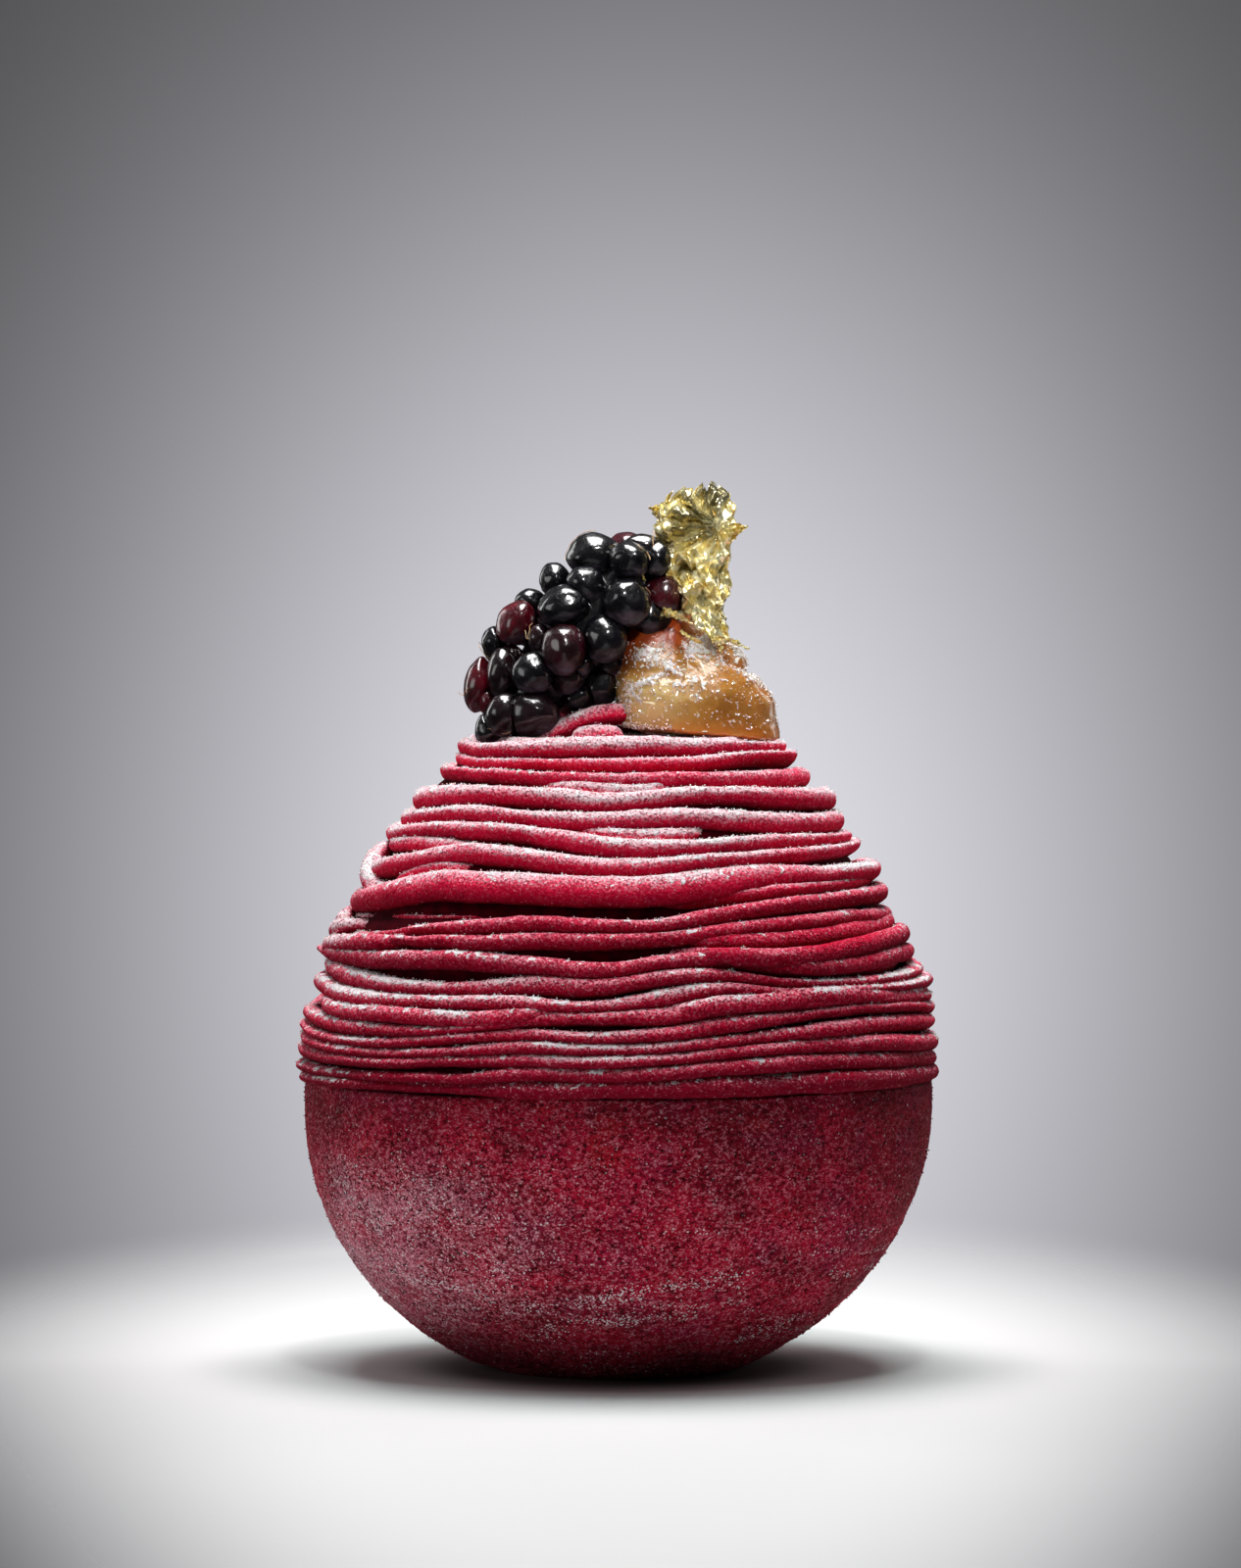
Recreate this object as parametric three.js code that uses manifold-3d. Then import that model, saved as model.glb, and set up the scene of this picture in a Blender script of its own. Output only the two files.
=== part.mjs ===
// A single-portion pavlova dressed as a Mont-Blanc: a half-sphere meringue shell on a small flat foot,
// strands of red-fruit cream wound over it into a tapering dome, and on top a large bramble leaning on
// a piece of candied chestnut with a crumpled leaf of gold. Millimetres, +Z up, front towards -Y.

import * as THREE from 'three';
import { mergeVertices } from 'three/addons/utils/BufferGeometryUtils.js';
import Module from 'manifold-3d';

const wasm = await Module();
wasm.setup();

// Driving dimensions, mm

const CLEARANCE = 0.3;              // between pieces that rest on each other

const SHELL_RADIUS = 35;            // a half-sphere mould 70 mm across
const SHELL_DROP = 31.9;            // from the widest level down to the pole of the full curve
const SHELL_WIDEST = 29.4;          // height of the widest level above the foot
const SHELL_RIM = 32.3;             // height of the rim
const SHELL_LUMPS = 0.11;           // how far each wave of the baked surface swells and sinks

const DOME_RADIUS = 35.4;           // outside of the wound strands at the rim
const DOME_BASE = 34.3;             // height where the dome starts to taper
const DOME_RISE = 44.5;             // from there up to the tip of the full curve
const DOME_POWER = 1.6;             // 2 would be an ellipse, 1 a cone
const CORE_DEPTH = 2.1;             // the cream under the strands lies this far in
const PLATEAU = 69.4;               // height of the cream under the toppings

const STRAND = 2.4;                 // usual strand thickness
const STRAND_STATIONS = 46;         // places round the dome where the strands are worked out
const CREASE = 0.25;                // how much deeper than two touching rounds the valleys run
const SHOULDER = 0.27;              // where a row's shoulders sit, as a share of the way to its neighbour

const LOWER_WIND = { rows: 11, first: 33.9, pitch: 1.76, thickness: 2.1 };
const UPPER_WIND = { rows: 7, first: 56.7, pitch: 2.2, thickness: 2.45 };
const SUNK_ROW = { height: 52.8, thickness: 2.2 };
const WIDE_ROW = { height: 54.4, thickness: 3.3 };
const TOP_RINGS = { rows: 6, outer: 13.0, pitch: 2.3, thickness: 2.4, sway: 0.35 };
const STRAY_TUCK = 2.4;             // how deep the ends of a strand that crosses the rows are tucked in

const BRAMBLE = {
  foot: [-12.2, -0.6, 71.4],        // middle of the lower end
  tip: [3.6, -0.2, 90.6],           // middle of the upper end
  girth: 4.9,                       // radius of the ring that the drupelet centres lie on
  drupelet: 2.55,
  core: 0.8,                        // depth of the clefts between drupelets, as a share of the girth
};
const CHESTNUT = {
  middle: [6.0, -0.6],              // under its highest point
  floor: 71.6,
  left: 6.1,                        // reach to the cut side
  right: 12.2,
  depth: 7.4,                       // reach to the front and to the back
  height: 12.1,
  belly: 0.9,                       // how far it rounds down below its widest level
  lean: 0.055,                      // drop towards the right, per millimetre
  crease: 0.8,
  dimple: 0.45,
};
const GOLD = {
  middle: [9.0, -0.2],
  bottom: 81.6,
  top: 97.3,
  waist: 3.3,                       // radius of the curl low down and high up
  mouth: 4.7,
  curl: 268,                        // degrees that the sheet is curled round
  sheet: 0.34,                      // thickness
  pleat: 0.4,
  crumple: 0.6,
  closing: 2.4,                     // how far the top edge folds in
  torn: 1.1,                        // rise and fall of the torn top edge
  fray: 0.9,                        // and how far its single corners stand out
};

// Helpers

const DEGREE = Math.PI / 180;
const TURN = 2 * Math.PI;

function seededRandom(seed) {
  let state = seed;
  return () => {
    state = (Math.imul(state, 1664525) + 1013904223) >>> 0;
    return state / 4294967296;
  };
}

function between(random, low, high) {
  return low + (high - low) * random();
}

function bell(distance, reach) {
  return Math.exp(-((distance / reach) ** 2));
}

function blend(a, b, t) {
  return a + (b - a) * t;
}

// Signed difference of two azimuths, in degrees from -180 to 180
function turnBetween(a, b) {
  return ((((a - b) % 360) + 540) % 360) - 180;
}

// Moves every vertex of a geometry to the place that the rule gives for it
function bend(geometry, rule) {
  const position = geometry.attributes.position;
  for (let i = 0; i < position.count; i += 1) {
    position.setXYZ(i, ...rule(position.getX(i), position.getY(i), position.getZ(i)));
  }
  return geometry;
}

// A closed solid of a geometry, with its seams merged and its collapsed faces left out
function solid(geometry) {
  geometry.deleteAttribute('normal');
  geometry.deleteAttribute('uv');
  const merged = mergeVertices(geometry, 1e-4);
  const faces = [];
  const index = merged.index.array;
  for (let i = 0; i < index.length; i += 3) {
    const [a, b, c] = [index[i], index[i + 1], index[i + 2]];
    if (a !== b && b !== c && c !== a) {
      faces.push(a, b, c);
    }
  }
  return new wasm.Manifold(new wasm.Mesh({
    numProp: 3,
    vertProperties: Float32Array.from(merged.attributes.position.array),
    triVerts: Uint32Array.from(faces),
  }));
}

// The outer skin of the largest body: loose scraps go, and hollows sealed inside are filled
function largestBody(joined) {
  const bodies = joined.decompose();
  return bodies.reduce((best, body) => (body.volume() > best.volume() ? body : best));
}

function join(solids) {
  return solids.reduce((whole, piece) => whole.add(piece));
}

function meshOf(name, body, material) {
  const { vertProperties, triVerts } = body.getMesh();
  const geometry = new THREE.BufferGeometry();
  geometry.setAttribute('position', new THREE.BufferAttribute(vertProperties, 3));
  geometry.setIndex(new THREE.BufferAttribute(triVerts, 1));
  geometry.computeVertexNormals();
  const mesh = new THREE.Mesh(geometry, material);
  mesh.name = name;
  return mesh;
}

// Meringue shell

function shellRadius(height) {
  return SHELL_RADIUS * Math.sqrt(1 - ((height - SHELL_WIDEST) / SHELL_DROP) ** 2);
}

// Low swells of the baked surface, from a few waves that cross each other
const SHELL_WAVES = (() => {
  const random = seededRandom(11);
  return Array.from({ length: 7 }, () => ({
    turns: Math.round(between(random, 2, 9)),
    rise: between(random, -0.35, 0.35),
    phase: between(random, 0, TURN),
  }));
})();

function shellLump(azimuth, height) {
  const sum = SHELL_WAVES.reduce(
    (total, wave) => total + Math.sin(wave.turns * azimuth + wave.rise * height + wave.phase), 0);
  return SHELL_LUMPS * sum;
}

function meringueShell() {
  const wallSteps = 15;
  const segments = 44;
  const profile = [new THREE.Vector2(0, 0)];
  const lowest = Math.asin(-SHELL_WIDEST / SHELL_DROP);
  const highest = Math.asin((SHELL_RIM - SHELL_WIDEST) / SHELL_DROP);
  for (let i = 0; i <= wallSteps; i += 1) {
    const angle = blend(lowest, highest, i / wallSteps);
    const height = Math.max(SHELL_WIDEST + SHELL_DROP * Math.sin(angle), 0);
    profile.push(new THREE.Vector2(shellRadius(height), height));
  }
  profile.push(new THREE.Vector2(0, SHELL_RIM));
  const lathe = new THREE.LatheGeometry(profile, segments);
  lathe.rotateX(Math.PI / 2);
  bend(lathe, (x, y, z) => {
    const radius = Math.hypot(x, y);
    if (radius < 1 || z < 0.1) {
      return [x, y, z];
    }
    const grown = 1 + shellLump(Math.atan2(x, -y), z) / radius;
    return [x * grown, y * grown, z];
  });
  return solid(lathe);
}

// Cream strands

function domeRadius(height) {
  const rise = THREE.MathUtils.clamp((height - DOME_BASE) / DOME_RISE, 0, 0.999);
  return DOME_RADIUS * (1 - rise ** DOME_POWER) ** (1 / DOME_POWER);
}

// Places where the rows crest or sag together: azimuth and its reach in degrees, height and its reach
const FRONT_SWELLS = [
  { at: -72, height: 55.0, across: 20, up: 2.6, lift: -2.3 },
  { at: -48, height: 50.5, across: 24, up: 2.2, lift: -1.5 },
  { at: 60, height: 51.5, across: 34, up: 3.4, lift: 1.5 },
  { at: 18, height: 46.2, across: 13, up: 3.0, lift: 1.3 },
  { at: -2, height: 46.5, across: 12, up: 3.0, lift: -0.5 },
  { at: 40, height: 46.0, across: 14, up: 2.6, lift: -0.5 },
  { at: -45, height: 46.6, across: 22, up: 1.0, lift: 0.6 },
  { at: -2, height: 62.5, across: 18, up: 4.0, lift: -0.6 },
  { at: 20, height: 61.5, across: 11, up: 3.0, lift: 0.6 },
  { at: -34, height: 60.5, across: 22, up: 6.0, lift: 0.7 },
  { at: -24, height: 40.0, across: 12, up: 2.4, lift: 0.5 },
  { at: 8, height: 38.5, across: 16, up: 3.0, lift: -0.3 },
  { at: 50, height: 37.5, across: 26, up: 3.6, lift: 0.6 },
];

// Places where strands lie further out or are sunk in
const FRONT_PUSHES = [
  { at: -20, height: 52.8, across: 50, up: 0.7, push: -1.9 },
  { at: -88, height: 49.3, across: 16, up: 1.5, push: 1.1 },
  { at: 2, height: 48.0, across: 26, up: 0.7, push: -1.1 },
  { at: -45, height: 45.3, across: 22, up: 0.5, push: -0.8 },
  { at: 70, height: 44.5, across: 14, up: 1.5, push: 0.7 },
];

// The far side is wound in the same uneven way
const BACK_SWELLS = (() => {
  const random = seededRandom(29);
  return Array.from({ length: 16 }, (_, i) => ({
    at: 100 + 10.5 * i + between(random, -6, 6),
    height: between(random, 37, 66),
    across: between(random, 11, 26),
    up: between(random, 2.2, 4.2),
    lift: between(random, 0.5, 1.5) * (random() < 0.5 ? -1 : 1),
    push: between(random, -0.9, 0.6),
  }));
})();

function swellLift(azimuth, height) {
  const swells = [...FRONT_SWELLS, ...BACK_SWELLS];
  const sum = swells.reduce((total, swell) => total + swell.lift
    * bell(turnBetween(azimuth, swell.at), swell.across) * bell(height - swell.height, swell.up), 0);
  return sum * THREE.MathUtils.clamp((height - SHELL_RIM) / 4, 0, 1);
}

function swellPush(azimuth, height) {
  return [...FRONT_PUSHES, ...BACK_SWELLS].reduce((total, swell) => total + swell.push
    * bell(turnBetween(azimuth, swell.at), swell.across) * bell(height - swell.height, swell.up), 0);
}

// One strand's own unevenness round the turn
function waver(random, amount) {
  const waves = [2, 3, 5, 8].map((turns) => ({ turns, phase: between(random, 0, TURN) }));
  return (azimuth) => waves.reduce(
    (total, wave) => total + (amount / 2) * Math.sin(wave.turns * azimuth * DEGREE + wave.phase), 0);
}

function windingRows() {
  const random = seededRandom(5);
  const rows = [];
  const add = (height, thickness) => rows.push({
    height,
    thickness,
    rise: waver(random, 0.16),
    reach: waver(random, 0.26),
  });
  for (let i = 0; i < LOWER_WIND.rows; i += 1) {
    add(LOWER_WIND.first + i * LOWER_WIND.pitch, LOWER_WIND.thickness);
  }
  add(SUNK_ROW.height, SUNK_ROW.thickness);
  add(WIDE_ROW.height, WIDE_ROW.thickness);
  for (let i = 0; i < UPPER_WIND.rows; i += 1) {
    add(UPPER_WIND.first + i * UPPER_WIND.pitch, UPPER_WIND.thickness);
  }
  return rows;
}

function strandHeight(row, azimuth) {
  return row.height + swellLift(azimuth, row.height) + row.rise(azimuth);
}

function strandRadius(row, azimuth) {
  const outside = domeRadius(strandHeight(row, azimuth)) + swellPush(azimuth, row.height);
  return outside + row.reach(azimuth) - row.thickness / 2;
}

// Short strands laid across the rows: azimuth and height at both ends, how far the middle arches up,
// and how far it stands over the dome
const STRAYS = [
  { from: [-52, 40.6], to: [14, 42.4], arch: 0.3, over: 0.5 },
  { from: [16, 46.6], to: [66, 45.0], arch: -1.0, over: 0.5 },
  { from: [-8, 64.0], to: [52, 66.6], arch: 0.3, over: 0.4 },
  { from: [6, 52.4], to: [84, 55.4], arch: 0.3, over: 0.4 },
  { from: [128, 39.0], to: [196, 43.2], arch: 0.5, over: 0.5 },
  { from: [150, 57.2], to: [214, 53.4], arch: 0.4, over: 0.5 },
  { from: [222, 46.4], to: [286, 49.8], arch: -0.4, over: 0.5 },
  { from: [96, 62.0], to: [160, 59.2], arch: 0.5, over: 0.4 },
];

// Where a stray strand crosses an azimuth, or nothing where it doesn't reach
function strayCentre({ from, to, arch, over }, azimuth) {
  const span = to[0] - from[0];
  const t = turnBetween(azimuth, from[0]) / span;
  if (t < 0 || t > 1) {
    return null;
  }
  const height = blend(from[1], to[1], t) + arch * 4 * t * (1 - t);
  const tucked = over - STRAY_TUCK * (2 * t - 1) ** 4;
  return { height, radius: domeRadius(height) + tucked - STRAND / 2, thickness: STRAND };
}

// How far out a round strand reaches at a height, or 0 above and below it
function reachAt(strand, height) {
  const half = strand.thickness / 2;
  const off = Math.abs(height - strand.height);
  return off < half ? strand.radius + Math.sqrt(half * half - off * off) : 0;
}

function topRingHeight(radius, azimuth) {
  let height = PLATEAU;
  for (let i = 0; i < TOP_RINGS.rows; i += 1) {
    const sway = TOP_RINGS.sway * Math.sin(3 * azimuth * DEGREE + i * 2.1);
    const middle = TOP_RINGS.outer - i * TOP_RINGS.pitch + sway;
    const half = TOP_RINGS.thickness / 2;
    const off = Math.min(Math.abs(radius - middle), half);
    height = Math.max(height, PLATEAU + Math.sqrt(half * half - off * off));
  }
  return height;
}

// The outline of the wound cream at one azimuth, from the middle of its floor to the middle of its top.
// Each row gives a shoulder below and above its crest and the valley to the next row.
function windingOutline(rows, azimuth) {
  const base = SHELL_RIM + CLEARANCE;
  const strands = rows.map((row) => ({
    height: strandHeight(row, azimuth),
    radius: strandRadius(row, azimuth),
    thickness: row.thickness,
  }));
  const all = [...strands, ...STRAYS.map((stray) => strayCentre(stray, azimuth)).filter(Boolean)];
  const wall = (height) => all.reduce(
    (out, strand) => Math.max(out, reachAt(strand, height)), domeRadius(height) - CORE_DEPTH);
  const outline = [[0, base], [wall(base), base]];
  strands.forEach((strand, k) => {
    const below = k ? strand.height - strands[k - 1].height : strand.height - base;
    const above = k < strands.length - 1 ? strands[k + 1].height - strand.height : STRAND / 2;
    const heights = [strand.height - SHOULDER * below, strand.height + SHOULDER * above];
    outline.push(...heights.map((height) => [wall(height), height]));
    if (k < strands.length - 1) {
      const valley = strand.height + 0.5 * above;
      outline.push([Math.max(wall(valley) - CREASE, domeRadius(valley) - CORE_DEPTH), valley]);
    }
  });
  for (let i = 0; i < 2 * TOP_RINGS.rows; i += 1) {
    const radius = TOP_RINGS.outer + (0.5 - 0.5 * i) * TOP_RINGS.pitch;
    outline.push([radius, topRingHeight(radius, azimuth)]);
  }
  outline.push([0, PLATEAU + TOP_RINGS.thickness / 2]);
  return outline;
}

// The wound cream as one body: a ball whose rings of vertices are carried onto the outlines
function woundCream() {
  const rows = windingRows();
  const outlines = Array.from(
    { length: STRAND_STATIONS }, (_, i) => windingOutline(rows, (i * 360) / STRAND_STATIONS));
  const levels = outlines[0].length - 1;
  const ball = new THREE.SphereGeometry(1, STRAND_STATIONS, levels);
  return solid(bend(ball, (x, y, z) => {
    const station = Math.round((Math.atan2(x, z) / TURN + 1) * STRAND_STATIONS) % STRAND_STATIONS;
    const level = Math.round((Math.acos(THREE.MathUtils.clamp(-y, -1, 1)) / Math.PI) * levels);
    const [radius, height] = outlines[station][level];
    const azimuth = (station / STRAND_STATIONS) * TURN;
    return [radius * Math.sin(azimuth), -radius * Math.cos(azimuth), height];
  }));
}

// Strands that fill the nook between the bramble and the chestnut
const NOOK_STRANDS = [
  { from: [-9.0, -5.0, 69.6], middle: [-3.6, -5.6, 74.4], to: [2.0, -4.4, 73.0] },
  { from: [-4.4, -7.6, 69.8], middle: [-1.2, -8.4, 73.0], to: [2.6, -8.0, 69.6] },
  { from: [-7.5, 0.0, 69.6], middle: [-2.6, 0.4, 74.4], to: [2.4, 0.0, 70.4] },
  { from: [-8.6, 5.4, 69.6], middle: [-2.6, 6.2, 74.0], to: [3.0, 5.4, 69.8] },
];

function nookStrand({ from, middle, to }) {
  const sides = 7;
  const steps = 7;
  const path = new THREE.QuadraticBezierCurve3(
    new THREE.Vector3(...from), new THREE.Vector3(...middle), new THREE.Vector3(...to));
  const section = new THREE.Shape();
  section.absellipse(0, 0, STRAND / 2, STRAND / 2, 0, TURN, false, 0);
  const outline = new THREE.Shape(section.getPoints(sides).slice(0, sides));
  return solid(new THREE.ExtrudeGeometry(outline, { extrudePath: path, steps }));
}

// Bramble

function brambleAxis() {
  const foot = new THREE.Vector3(...BRAMBLE.foot);
  const tip = new THREE.Vector3(...BRAMBLE.tip);
  const along = tip.clone().sub(foot);
  const length = along.length();
  along.normalize();
  const across = new THREE.Vector3(0, -1, 0).projectOnPlane(along).normalize();
  const side = new THREE.Vector3().crossVectors(across, along);
  return { foot, along, across, side, length };
}

// Rings of drupelets from the foot to the tip: place along the fruit, girth, how many, and turn
const DRUPELET_RINGS = [
  { along: 0.03, girth: 0.62, count: 5, turn: 20 },
  { along: 0.2, girth: 0.96, count: 8, turn: 0 },
  { along: 0.39, girth: 1.06, count: 8, turn: 22 },
  { along: 0.58, girth: 1.04, count: 8, turn: 4 },
  { along: 0.77, girth: 0.92, count: 7, turn: 24 },
  { along: 0.93, girth: 0.62, count: 5, turn: 6 },
  { along: 1.03, girth: 0.0, count: 1, turn: 0 },
];

function drupelets(grow) {
  const { foot, along, across, side, length } = brambleAxis();
  const random = seededRandom(17);
  return DRUPELET_RINGS.flatMap((ring) => Array.from({ length: ring.count }, (_, i) => {
    const angle = ((i + between(random, -0.1, 0.1)) / ring.count) * TURN + ring.turn * DEGREE;
    const girth = BRAMBLE.girth * ring.girth * between(random, 0.95, 1.06);
    const centre = foot.clone()
      .addScaledVector(along, length * (ring.along + between(random, -0.02, 0.02)))
      .addScaledVector(across, girth * Math.cos(angle))
      .addScaledVector(side, girth * Math.sin(angle));
    return new THREE.Sphere(centre, BRAMBLE.drupelet * between(random, 0.84, 1.12) + grow);
  }));
}

// The far side of a ball along a ray, as a distance from the ray's start, or 0 where it misses
function farSide(ball, start, direction) {
  const toCentre = ball.center.clone().sub(start);
  const along = toCentre.dot(direction);
  const missed = toCentre.lengthSq() - along * along;
  const room = ball.radius * ball.radius - missed;
  return room > 0 ? along + Math.sqrt(room) : 0;
}

// The fruit's skin: rays from a lean core out to the furthest drupelet that each one meets
function bramble(grow) {
  const { foot, along, across, side, length } = brambleAxis();
  const balls = drupelets(grow);
  const cleft = BRAMBLE.girth * BRAMBLE.core + grow;
  const core = new THREE.SphereGeometry(1, 44, 32);
  return solid(bend(core, (x, y, z) => {
    const place = (reach, girth) => foot.clone()
      .addScaledVector(along, length * 0.5 + reach * y)
      .addScaledVector(across, girth * x)
      .addScaledVector(side, girth * z);
    const start = place(length * 0.42, BRAMBLE.girth * 0.45);
    const direction = place(BRAMBLE.girth * 2, BRAMBLE.girth * 4.4).sub(place(0, 0)).normalize();
    const reach = balls.reduce(
      (furthest, ball) => Math.max(furthest, farSide(ball, start, direction)), cleft);
    return start.addScaledVector(direction, reach).toArray();
  }));
}

// Candied chestnut

// A quarter-dome: round to the right and above, cut nearly straight on the left, flat below
function candiedChestnut(grow) {
  const [middleX, middleY] = CHESTNUT.middle;
  const ball = new THREE.SphereGeometry(1, 24, 16);
  ball.rotateX(Math.PI / 2);
  return solid(bend(ball, (x, y, z) => {
    const boxed = Math.sign(x) * Math.abs(x) ** (x < 0 ? 0.55 : 1);
    const high = z > 0 ? z ** 0.9 * (CHESTNUT.height + grow) : z * (CHESTNUT.belly + grow);
    const crease = CHESTNUT.crease * bell(x - 0.45 - 0.5 * y, 0.16) * Math.max(z, 0);
    const dimple = CHESTNUT.dimple * Math.sin(7 * x + 2) * Math.sin(6 * y + 1) * Math.abs(z);
    const skin = 1 - (crease + dimple) / CHESTNUT.height;
    const wide = (x < 0 ? CHESTNUT.left : CHESTNUT.right) + grow;
    return [
      middleX + boxed * wide * skin,
      middleY + y * (CHESTNUT.depth + grow) * skin,
      CHESTNUT.floor + high * skin - CHESTNUT.lean * boxed * wide,
    ];
  }));
}

// Gold leaf

// A curled sheet, open at the back, pleated and torn along its upper edge
function goldLeaf() {
  const acrossSteps = 20;
  const upSteps = 9;
  const random = seededRandom(41);
  const corners = (acrossSteps + 1) * (upSteps + 1);
  const creases = Array.from({ length: corners }, () => between(random, -1, 1));
  const slab = new THREE.BoxGeometry(1, 1, 1, acrossSteps, upSteps, 1);
  return solid(bend(slab, (x, y, z) => {
    const i = Math.round((x + 0.5) * acrossSteps);
    const j = Math.round((y + 0.5) * upSteps);
    const up = j / upSteps;
    const crease = creases[j * (acrossSteps + 1) + i];
    const angle = (i / acrossSteps - 0.5) * GOLD.curl * DEGREE;
    const pleat = GOLD.pleat * (i % 2 ? 1 : -1) * (0.5 + up);
    const curl = blend(GOLD.waist, GOLD.mouth, THREE.MathUtils.smoothstep(up, 0.25, 0.8));
    const closing = GOLD.closing * THREE.MathUtils.smoothstep(up, 0.8, 1);
    const radius = curl + pleat + GOLD.crumple * crease - closing + z * GOLD.sheet;
    const torn = up * (GOLD.torn * Math.sin(3 * angle + 1) + GOLD.fray * crease);
    return [
      GOLD.middle[0] + radius * Math.sin(angle),
      GOLD.middle[1] - radius * Math.cos(angle),
      blend(GOLD.bottom, GOLD.top, up) + torn + 0.3 * crease * (1 - up),
    ];
  }));
}

// Assembly

const finish = (colour, roughness, metalness = 0) => new THREE.MeshStandardMaterial({
  color: colour,
  roughness,
  metalness,
});

const fruitRoom = bramble(CLEARANCE);
const chestnutRoom = candiedChestnut(CLEARANCE);
const cream = join([woundCream(), ...NOOK_STRANDS.map(nookStrand)])
  .subtract(fruitRoom)
  .subtract(chestnutRoom);
const chestnut = candiedChestnut(0).subtract(fruitRoom);
const gold = goldLeaf().subtract(chestnutRoom).subtract(fruitRoom);

const pavlova = new THREE.Group();
pavlova.add(meshOf('meringue_shell', largestBody(meringueShell()), finish(0x6b1f2f, 0.9)));
pavlova.add(meshOf('cream_strands', largestBody(cream), finish(0x96203c, 0.8)));
pavlova.add(meshOf('bramble', largestBody(bramble(0)), finish(0x17141b, 0.2)));
pavlova.add(meshOf('candied_chestnut', largestBody(chestnut), finish(0xa9764a, 0.3)));
pavlova.add(meshOf('gold_leaf', largestBody(gold), finish(0xd8b45a, 0.3, 1)));

export default pavlova;
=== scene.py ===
# The looks of a single-portion pavlova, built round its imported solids: a half-sphere meringue shell coated in
# berry powder, strands of red-fruit cream wound over it and dusted with icing sugar, and on top a bramble, a
# piece of candied chestnut and a crumpled leaf of gold.
#
# Lengths are in millimetres until a mesh is made, which is in metres. Azimuths are in degrees: 0 faces the
# viewer, towards -Y, and 90 faces +X.

import math
from collections import namedtuple
from itertools import product

import bmesh
import bpy
import numpy as np
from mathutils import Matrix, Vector


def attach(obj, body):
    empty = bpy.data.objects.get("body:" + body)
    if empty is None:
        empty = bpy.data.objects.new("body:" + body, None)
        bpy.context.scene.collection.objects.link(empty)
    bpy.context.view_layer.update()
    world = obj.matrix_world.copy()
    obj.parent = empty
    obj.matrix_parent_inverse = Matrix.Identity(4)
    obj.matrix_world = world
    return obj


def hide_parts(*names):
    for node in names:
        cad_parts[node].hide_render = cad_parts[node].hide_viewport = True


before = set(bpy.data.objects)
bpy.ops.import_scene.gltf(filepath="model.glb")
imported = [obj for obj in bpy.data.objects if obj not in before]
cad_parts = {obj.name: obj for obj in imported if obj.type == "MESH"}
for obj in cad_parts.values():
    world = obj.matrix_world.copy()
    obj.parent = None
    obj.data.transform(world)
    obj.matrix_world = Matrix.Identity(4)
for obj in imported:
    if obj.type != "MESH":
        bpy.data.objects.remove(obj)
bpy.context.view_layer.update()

MM = 0.001

# Driving sizes

SHELL_RADIUS = 35.0              # at its widest level
SHELL_DROP = 31.9                # from the widest level down to the pole of the full curve
SHELL_WIDEST = 29.4              # height of the widest level
SHELL_RIM = 32.3                 # height of its top
SHELL_LUMPS = 0.11               # rise of each wave of the baked surface
SHELL_ROUNDS = 640               # steps round the shell
SHELL_LEVELS = 132               # and up its wall

DOME_RADIUS = 35.4               # of the strands' outline at its base
DOME_BASE = 34.3                 # height of that base
DOME_RISE = 44.5                 # from the base up to where the outline would close
DOME_POWER = 1.6                 # of the outline's curve
CORE_DEPTH = 2.1                 # how far the cream under the strands lies below the outline
PLATEAU = 69.4                   # height of the flat top that bears the toppings
INNER_PITCH = 2.1                # from one inner row up to the next

WIDE_FOOT = 53.0                 # height of the underside of the wide strand, in front
STRAND = 2.4                     # width of a strand on the plateau
STRAND_STEP = 0.22               # length of one step along a strand
STRAND_GRAIN = 0.06              # depth of its grainy skin

BRAMBLE_FOOT = np.array([-12.2, -0.6, 71.4])
BRAMBLE_TIP = np.array([3.6, -0.2, 90.6])
BRAMBLE_GIRTH = 4.9              # from the fruit's middle line to the middles of its drupelets
DRUPELET = 2.55                  # half the width of a drupelet on its far side

CHESTNUT_MIDDLE = np.array([6.0, -0.6, 71.6])
CHESTNUT_LEFT = 6.1              # how far it reaches from its middle to the left
CHESTNUT_RIGHT = 12.2            # to the right
CHESTNUT_DEPTH = 7.4             # to the front and the back
CHESTNUT_HEIGHT = 12.1           # and up

GOLD_AXIS = -0.2                 # how far behind the object's axis the leaf curls round
GOLD_THICKNESS = 0.05            # thick enough to have two faces

# How the photograph was taken: a long lens a metre away, a little above the object's top and tipped down

PHOTO_HEIGHT = 1600              # in pixels
PIXEL = 0.109                    # size of a pixel on the plane through the object's axis
CAMERA = np.array([0.38, -1000.0, 109.0])
AIM_HEIGHT = 65.0                # height that the middle of the photograph shows


# Numbers

DRAWS = np.random.default_rng(7)
LATTICE_SIZE = 64
LATTICE = DRAWS.random((LATTICE_SIZE,) * 3)


def seeded_random(seed):
    """Draws between two bounds, the same run for the same seed."""
    state = seed

    def draw(low=0.0, high=1.0):
        nonlocal state
        state = (state * 1664525 + 1013904223) % 2 ** 32
        return low + (high - low) * state / 2 ** 32
    return draw


def noise(points, cell, shift=0.0):
    """Smooth noise from -1 to 1 that changes over about one cell."""
    place = np.asarray(points) / cell + shift
    corner = np.floor(place).astype(int)
    part = place - corner
    part = part * part * (3 - 2 * part)
    total = 0.0
    for step in product((0, 1), repeat=3):
        value = LATTICE[tuple(((corner + step) % LATTICE_SIZE).T)].T
        near_x, near_y, near_z = (np.abs(1 - step[axis] - part[..., axis]) for axis in range(3))
        total = total + value * (near_x * near_y * near_z)
    return 2 * total - 1


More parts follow.
